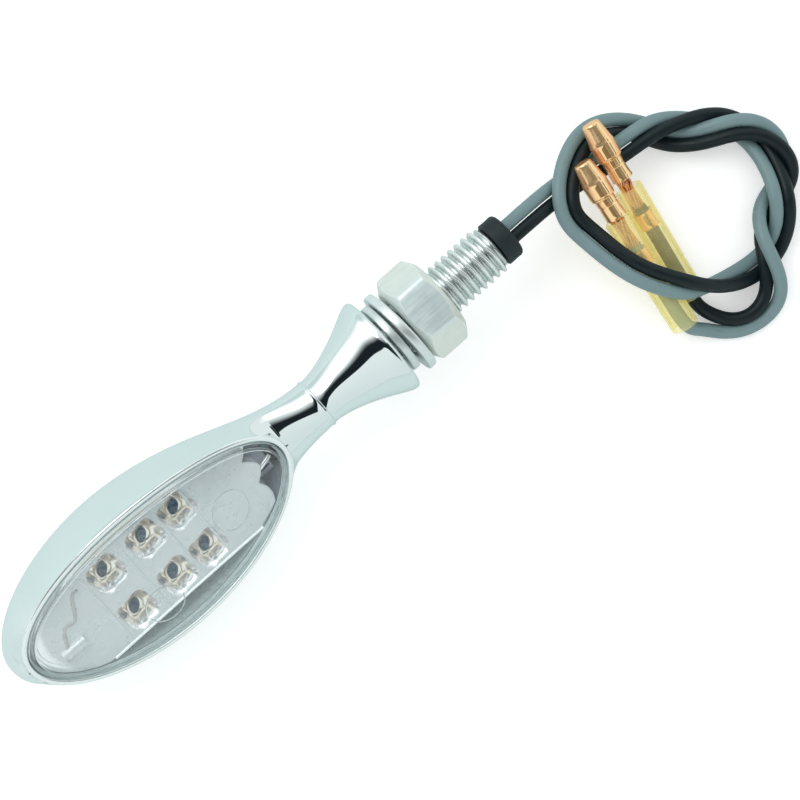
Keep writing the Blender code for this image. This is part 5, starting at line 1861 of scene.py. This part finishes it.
def board_material():
    """White solder-masked board with faint woven glass and tracks."""
    material, graph, shader = new_material("board_mask", specular_ior_level=0.5)
    place = graph.place()
    weave = graph.node("ShaderNodeTexWave", {"Vector": place, "Scale": 900.0, "Distortion": 0.6,
                                             "Detail": 1.0}).outputs["Fac"]
    cloud = graph.noise(place, 600.0, 4.0)
    tint = graph.mix(cloud, (0.60, 0.62, 0.60), (0.72, 0.74, 0.71))
    tint = graph.mix(graph.span(graph.cells(place, 320.0), 0.1, 0.16, 0.25, 0.0), tint,
                     (0.45, 0.52, 0.47))
    finish(graph, shader, base_color=tint, roughness=graph.span(cloud, 0.3, 0.7, 0.3, 0.5),
           normal=graph.bump(weave, 0.00001, 0.4))
    return material


def potting_material():
    """Grey-blue casting resin."""
    return cloud_material("potting", (700.0, 5.0, 0.6), (0.27, 0.31, 0.37), (0.42, 0.46, 0.52),
                          (0.25, 0.5), (0.00006, 0.5), specular_ior_level=0.5)


def chip_material():
    """Black moulded cases of the board's parts."""
    return cloud_material("chip_case", (2400.0, 4.0), (0.012, 0.013, 0.014),
                          (0.035, 0.036, 0.038), (0.4, 0.6), (0.00001, 0.4))


# ---------------------------------------------------------------- assembling the pieces

def dress(name, material):
    """Give a CAD node that stays in view its own material."""
    node = frame["nodes"][name]
    node.data.materials.clear()
    node.data.materials.append(material)
    node.data.shade_smooth()
    node.data.set_sharp_from_angle(angle=math.radians(CAD_SHARP_ANGLE))


def soften(name, width, segments=2):
    """Round the edges of a CAD node without touching its mesh."""
    modifier = frame["nodes"][name].modifiers.new("soften", "BEVEL")
    modifier.width = width * MM
    modifier.segments = segments
    modifier.limit_method = "ANGLE"
    modifier.angle_limit = math.radians(SHARP_ANGLE)


def build_head():
    """Casting, lens, reflector and lamps; the small parts inside keep their CAD shapes."""
    def head_piece(name, shape, material, stands_for=None):
        return add_piece(name, shape, [material], "lamp", HEAD_PLACE, stands_for)

    housing = add_piece("housing_casting", housing_shape(),
                        [chrome_material(), cavity_material(), lip_material()],
                        "lamp", HEAD_PLACE, "housing")
    carve(housing, housing_cutters())
    rings = [lens_ring_shape(*centre) for centre in LENS_RINGS]
    head_piece("lens_cover", merge_shapes(lens_shape(), *rings), lens_material(),
               "lens")
    dress("lens_seal", sealant_material())
    plated = reflector_material()
    tray = head_piece("reflector_tray", tray_shape(), plated, "reflector")
    carve(tray, [bowl_shape(x, y) for x, y in lamp_places()])
    head_piece("reflector_details", tray_details(), plated)
    # Glowing edge bead: a painted highlight along the reflector's low edge.
    head_piece("reflector_edge", tray_edge_shape(), edge_material())
    head_piece("reflector_bead", wavy_bead_shape(), bead_material())
    head_piece("chamber_boss", boss_shape(), plated)
    dress("circuit_board", board_material())
    soften("circuit_board", BOARD_SOFTNESS)
    dress("potting_plug", potting_material())
    chips = chip_material()
    for name in ("resistor_1", "resistor_2", "diode"):
        dress(name, chips)
        soften(name, CHIP_SOFTNESS)
    solder = solder_material()
    dress("solder_grey", solder)
    dress("solder_black", solder)
    resin, gilt, dark = resin_material(), gilt_material(), die_material()
    for number, (x, y) in enumerate(lamp_places(), 1):
        cup = leaf_shape(x, y, CUP_STATIONS, CUP_REACH, CUP_HALF_WIDTH)
        die = leaf_shape(x, y, DIE_STATIONS, DIE_REACH, DIE_HALF_WIDTH)
        head_piece("lamp_%d" % number, upright(x, y, lamp_body_profile()), resin,
                   "led_%d" % number)
        head_piece("lamp_cup_%d" % number, cup, gilt)
        head_piece("lamp_die_%d" % number, die, dark)


def build_fasteners():
    """Stud, nut, both washers and the rubber cap."""
    add_piece("threaded_stud", stud_shape(), [thread_material()], "lamp", STUD_PLACE,
              "stud", smooth=50.0)
    add_piece("nut", nut_shape(), [zinc_material("zinc_nut", (140.0, 2600.0, 2600.0))], "nut",
              NUT_PLACE, "hex_nut", smooth=30.0)
    middle = Matrix.Translation((sum(FLAT_WASHER_X) / 2.0 * MM, 0.0, 0.0))
    lean = STUD_PLACE @ Matrix.Translation((0.0, FLAT_WASHER_DROP * MM, 0.0)) @ middle
    lean = lean @ Matrix.Rotation(FLAT_WASHER_LEAN, 4, "Z") @ middle.inverted()
    add_piece("plain_washer", flat_washer_shape(), [washer_material("zinc_washer")],
              "flat_washer", lean, "flat_washer")
    add_piece("spring_washer", lock_washer_shape(), [washer_material("zinc_spring")],
              "lock_washer", STUD_PLACE, "lock_washer")
    cap = add_piece("rubber_cap", grommet_shape(), [rubber_material()], "lamp", STUD_PLACE,
                    "grommet")
    through = [(GROMMET_X[0] - 1.0, CABLE_HOLE_RADIUS), (GROMMET_X[1] + 1.0, CABLE_HOLE_RADIUS)]
    carve(cap, [loft(round_rings(through, 40, y)) for y in (PAIR_OFFSET, -PAIR_OFFSET)])


def cable_radius(k):
    """Radius at a path station: the insulation is squeezed a little where the cap grips it."""
    return CABLE_RADII[0] + (CABLE_RADII[1] - CABLE_RADII[0]) * ease(k, *CABLE_GRIP_STATIONS)


def lifted(path):
    """Raise a path, in mm, wherever the cable round it would sink into the floor."""
    lowest = CAD_BOX[0][2] / MM + CABLE_RADII[1]
    return [Vector((point.x, point.y, max(point.z, lowest))) for point in path]


def build_cables():
    """Both cables, from the CAD cables' own centre lines."""
    finishes = {
        "grey": insulation_material("insulation_grey", (0.135, 0.22, 0.232),
                                    (0.21, 0.305, 0.317), 0.42),
        "black": insulation_material("insulation_black", (0.002, 0.008, 0.010),
                                     (0.007, 0.016, 0.019), 0.27),
    }
    for colour, insulation in finishes.items():
        centres = settle(cable_rings("cable_" + colour), SETTLE_ROUNDS)
        shape = tube(lifted(smooth_path(centres, CABLE_STEPS)), cable_radius, CABLE_SIDES)
        add_piece("wire_" + colour, shape, [insulation], "lamp", Matrix.Identity(4),
                  "cable_" + colour, smooth=60.0)


def build_connectors():
    """Bullets, bare strands and soft sleeves at the cables' ends."""
    brass, copper, vinyl = brass_material(), copper_material(), sleeve_material()
    for number, colour in enumerate(("grey", "black")):
        place = connector_place(colour)
        add_piece("bullet_" + colour, terminal_shape(), [brass], "lamp", place,
                  "terminal_" + colour, smooth=30.0)
        add_piece("strands_" + colour, strand_shapes(STRAND_SEED + number), [copper], "lamp",
                  place, "conductor_" + colour, smooth=60.0)
        start, end = sleeve_span(colour, place)
        add_piece("soft_sleeve_" + colour, sleeve_shape(end - start, SLEEVE_SEED + number),
                  [vinyl], "sleeve_" + colour, place @ Matrix.Translation((start * MM, 0.0, 0.0)),
                  "sleeve_" + colour, smooth=60.0)


# ---------------------------------------------------------------- stage, light and camera

def add_camera():
    """Long lens, nearly square to the stud."""
    data = bpy.data.cameras.new("camera")
    data.lens = CAMERA_LENS
    data.sensor_width = 36.0
    data.clip_start, data.clip_end = CAMERA_CLIP
    camera = bpy.data.objects.new("camera", data)
    aim = (VIEW_RIGHT * AIM_OFFSET[0] + VIEW_UP * AIM_OFFSET[1]) * MM
    spot = STUD_PLACE.translation + aim + TO_CAMERA * CAMERA_DISTANCE * MM
    turn = Matrix((VIEW_RIGHT, VIEW_UP, TO_CAMERA)).transposed().to_4x4()
    camera.matrix_world = Matrix.Translation(spot) @ turn
    bpy.context.scene.collection.objects.link(camera)
    bpy.context.scene.camera = camera


def add_floor():
    """Plain pale floor under the part."""
    reach = FLOOR_SIZE / MM
    corners = [(-reach, -reach, 0.0), (reach, -reach, 0.0), (reach, reach, 0.0),
               (-reach, reach, 0.0)]
    floor, mesh = new_object("floor", corners, [(0, 1, 2, 3)])
    material, graph, shader = new_material("floor_paper", roughness=0.9)
    paper = graph.noise(graph.place(), 60.0, 3.0)
    tint = graph.mix(paper, (0.93, 0.935, 0.935), (0.95, 0.955, 0.955))
    mirrored = graph.node("ShaderNodeLightPath").outputs["Is Glossy Ray"]
    tint = graph.mix(mirrored, tint, (0.72, 0.82, 0.81))
    seen = graph.node("ShaderNodeLightPath").outputs["Is Camera Ray"]
    finish(graph, shader, base_color=tint, emission_color=(1.0, 1.0, 1.0),
           emission_strength=graph.times(seen, 0.3))
    mesh.materials.append(material)
    floor.location = (0.0, 0.0, CAD_BOX[0][2] - FLOOR_GAP)


def add_studio():
    """White tent: pale walls, a brighter panel and a dark gap that hooks back at one end."""
    world = bpy.data.worlds.new("studio")
    bpy.context.scene.world = world
    world.use_nodes = True
    graph = Graph(world.node_tree)
    background = world.node_tree.nodes["Background"]
    direction = graph.node("ShaderNodeTexCoord").outputs["Generated"]
    alpha, beta = tent_angles(graph, direction)
    walls = graph.mix(graph.span(beta, -1.3, -0.1), (0.78, 0.86, 0.855), (0.90, 0.95, 0.945))
    walls = graph.mix(graph.span(beta, 0.75, 1.35), walls, (0.66, 0.79, 0.78))
    panel = graph.times(window(graph, beta, PANEL_BETA), window(graph, alpha, PANEL_ALPHA))
    walls = graph.mix(panel, walls, (1.35, 1.38, 1.37))
    rise = graph.span(alpha, *GAP_RISE_ALPHA, 0.0, GAP_RISE)
    sag = graph.span(alpha, *GAP_SAG_ALPHA, GAP_SAG, 0.0)
    height = graph.plus(graph.math("SUBTRACT", beta, rise), sag)
    height = graph.times(height, graph.span(alpha, *GAP_SAG_ALPHA, GAP_SQUEEZE, 1.0))
    gap = graph.times(window(graph, height, GAP_BETA), window(graph, alpha, GAP_ALPHA))
    hook = graph.times(window(graph, beta, HOOK_BETA), window(graph, alpha, HOOK_ALPHA))
    walls = graph.mix(graph.math("MAXIMUM", gap, hook), walls, (0.012, 0.018, 0.022))
    path = graph.node("ShaderNodeLightPath").outputs
    lit = graph.mix(path["Is Diffuse Ray"], walls, (0.86, 0.88, 0.88))
    seen = graph.mix(path["Is Camera Ray"], lit, (1.0, 1.0, 1.0))
    graph.set(background.inputs["Color"], seen)
    graph.set(background.inputs["Strength"], 1.0)


def add_key_light():
    """Soft round light above the camera."""
    key = bpy.data.lights.new("key", "AREA")
    key.shape = "DISK"
    key.size = KEY_SIZE
    key.energy = KEY_ENERGY
    lamp = bpy.data.objects.new("key", key)
    toward = (TO_CAMERA * 0.8 + ACROSS_STUD * 0.55 - ALONG_STUD * 0.1).normalized()
    lamp.location = toward * KEY_DISTANCE
    lamp.rotation_mode = "QUATERNION"
    lamp.rotation_quaternion = toward.to_track_quat("Z", "Y")
    bpy.context.scene.collection.objects.link(lamp)
    bpy.context.scene.view_settings.view_transform = "Standard"


build_head()
build_fasteners()
build_cables()
build_connectors()
add_floor()
add_studio()
add_key_light()
add_camera()
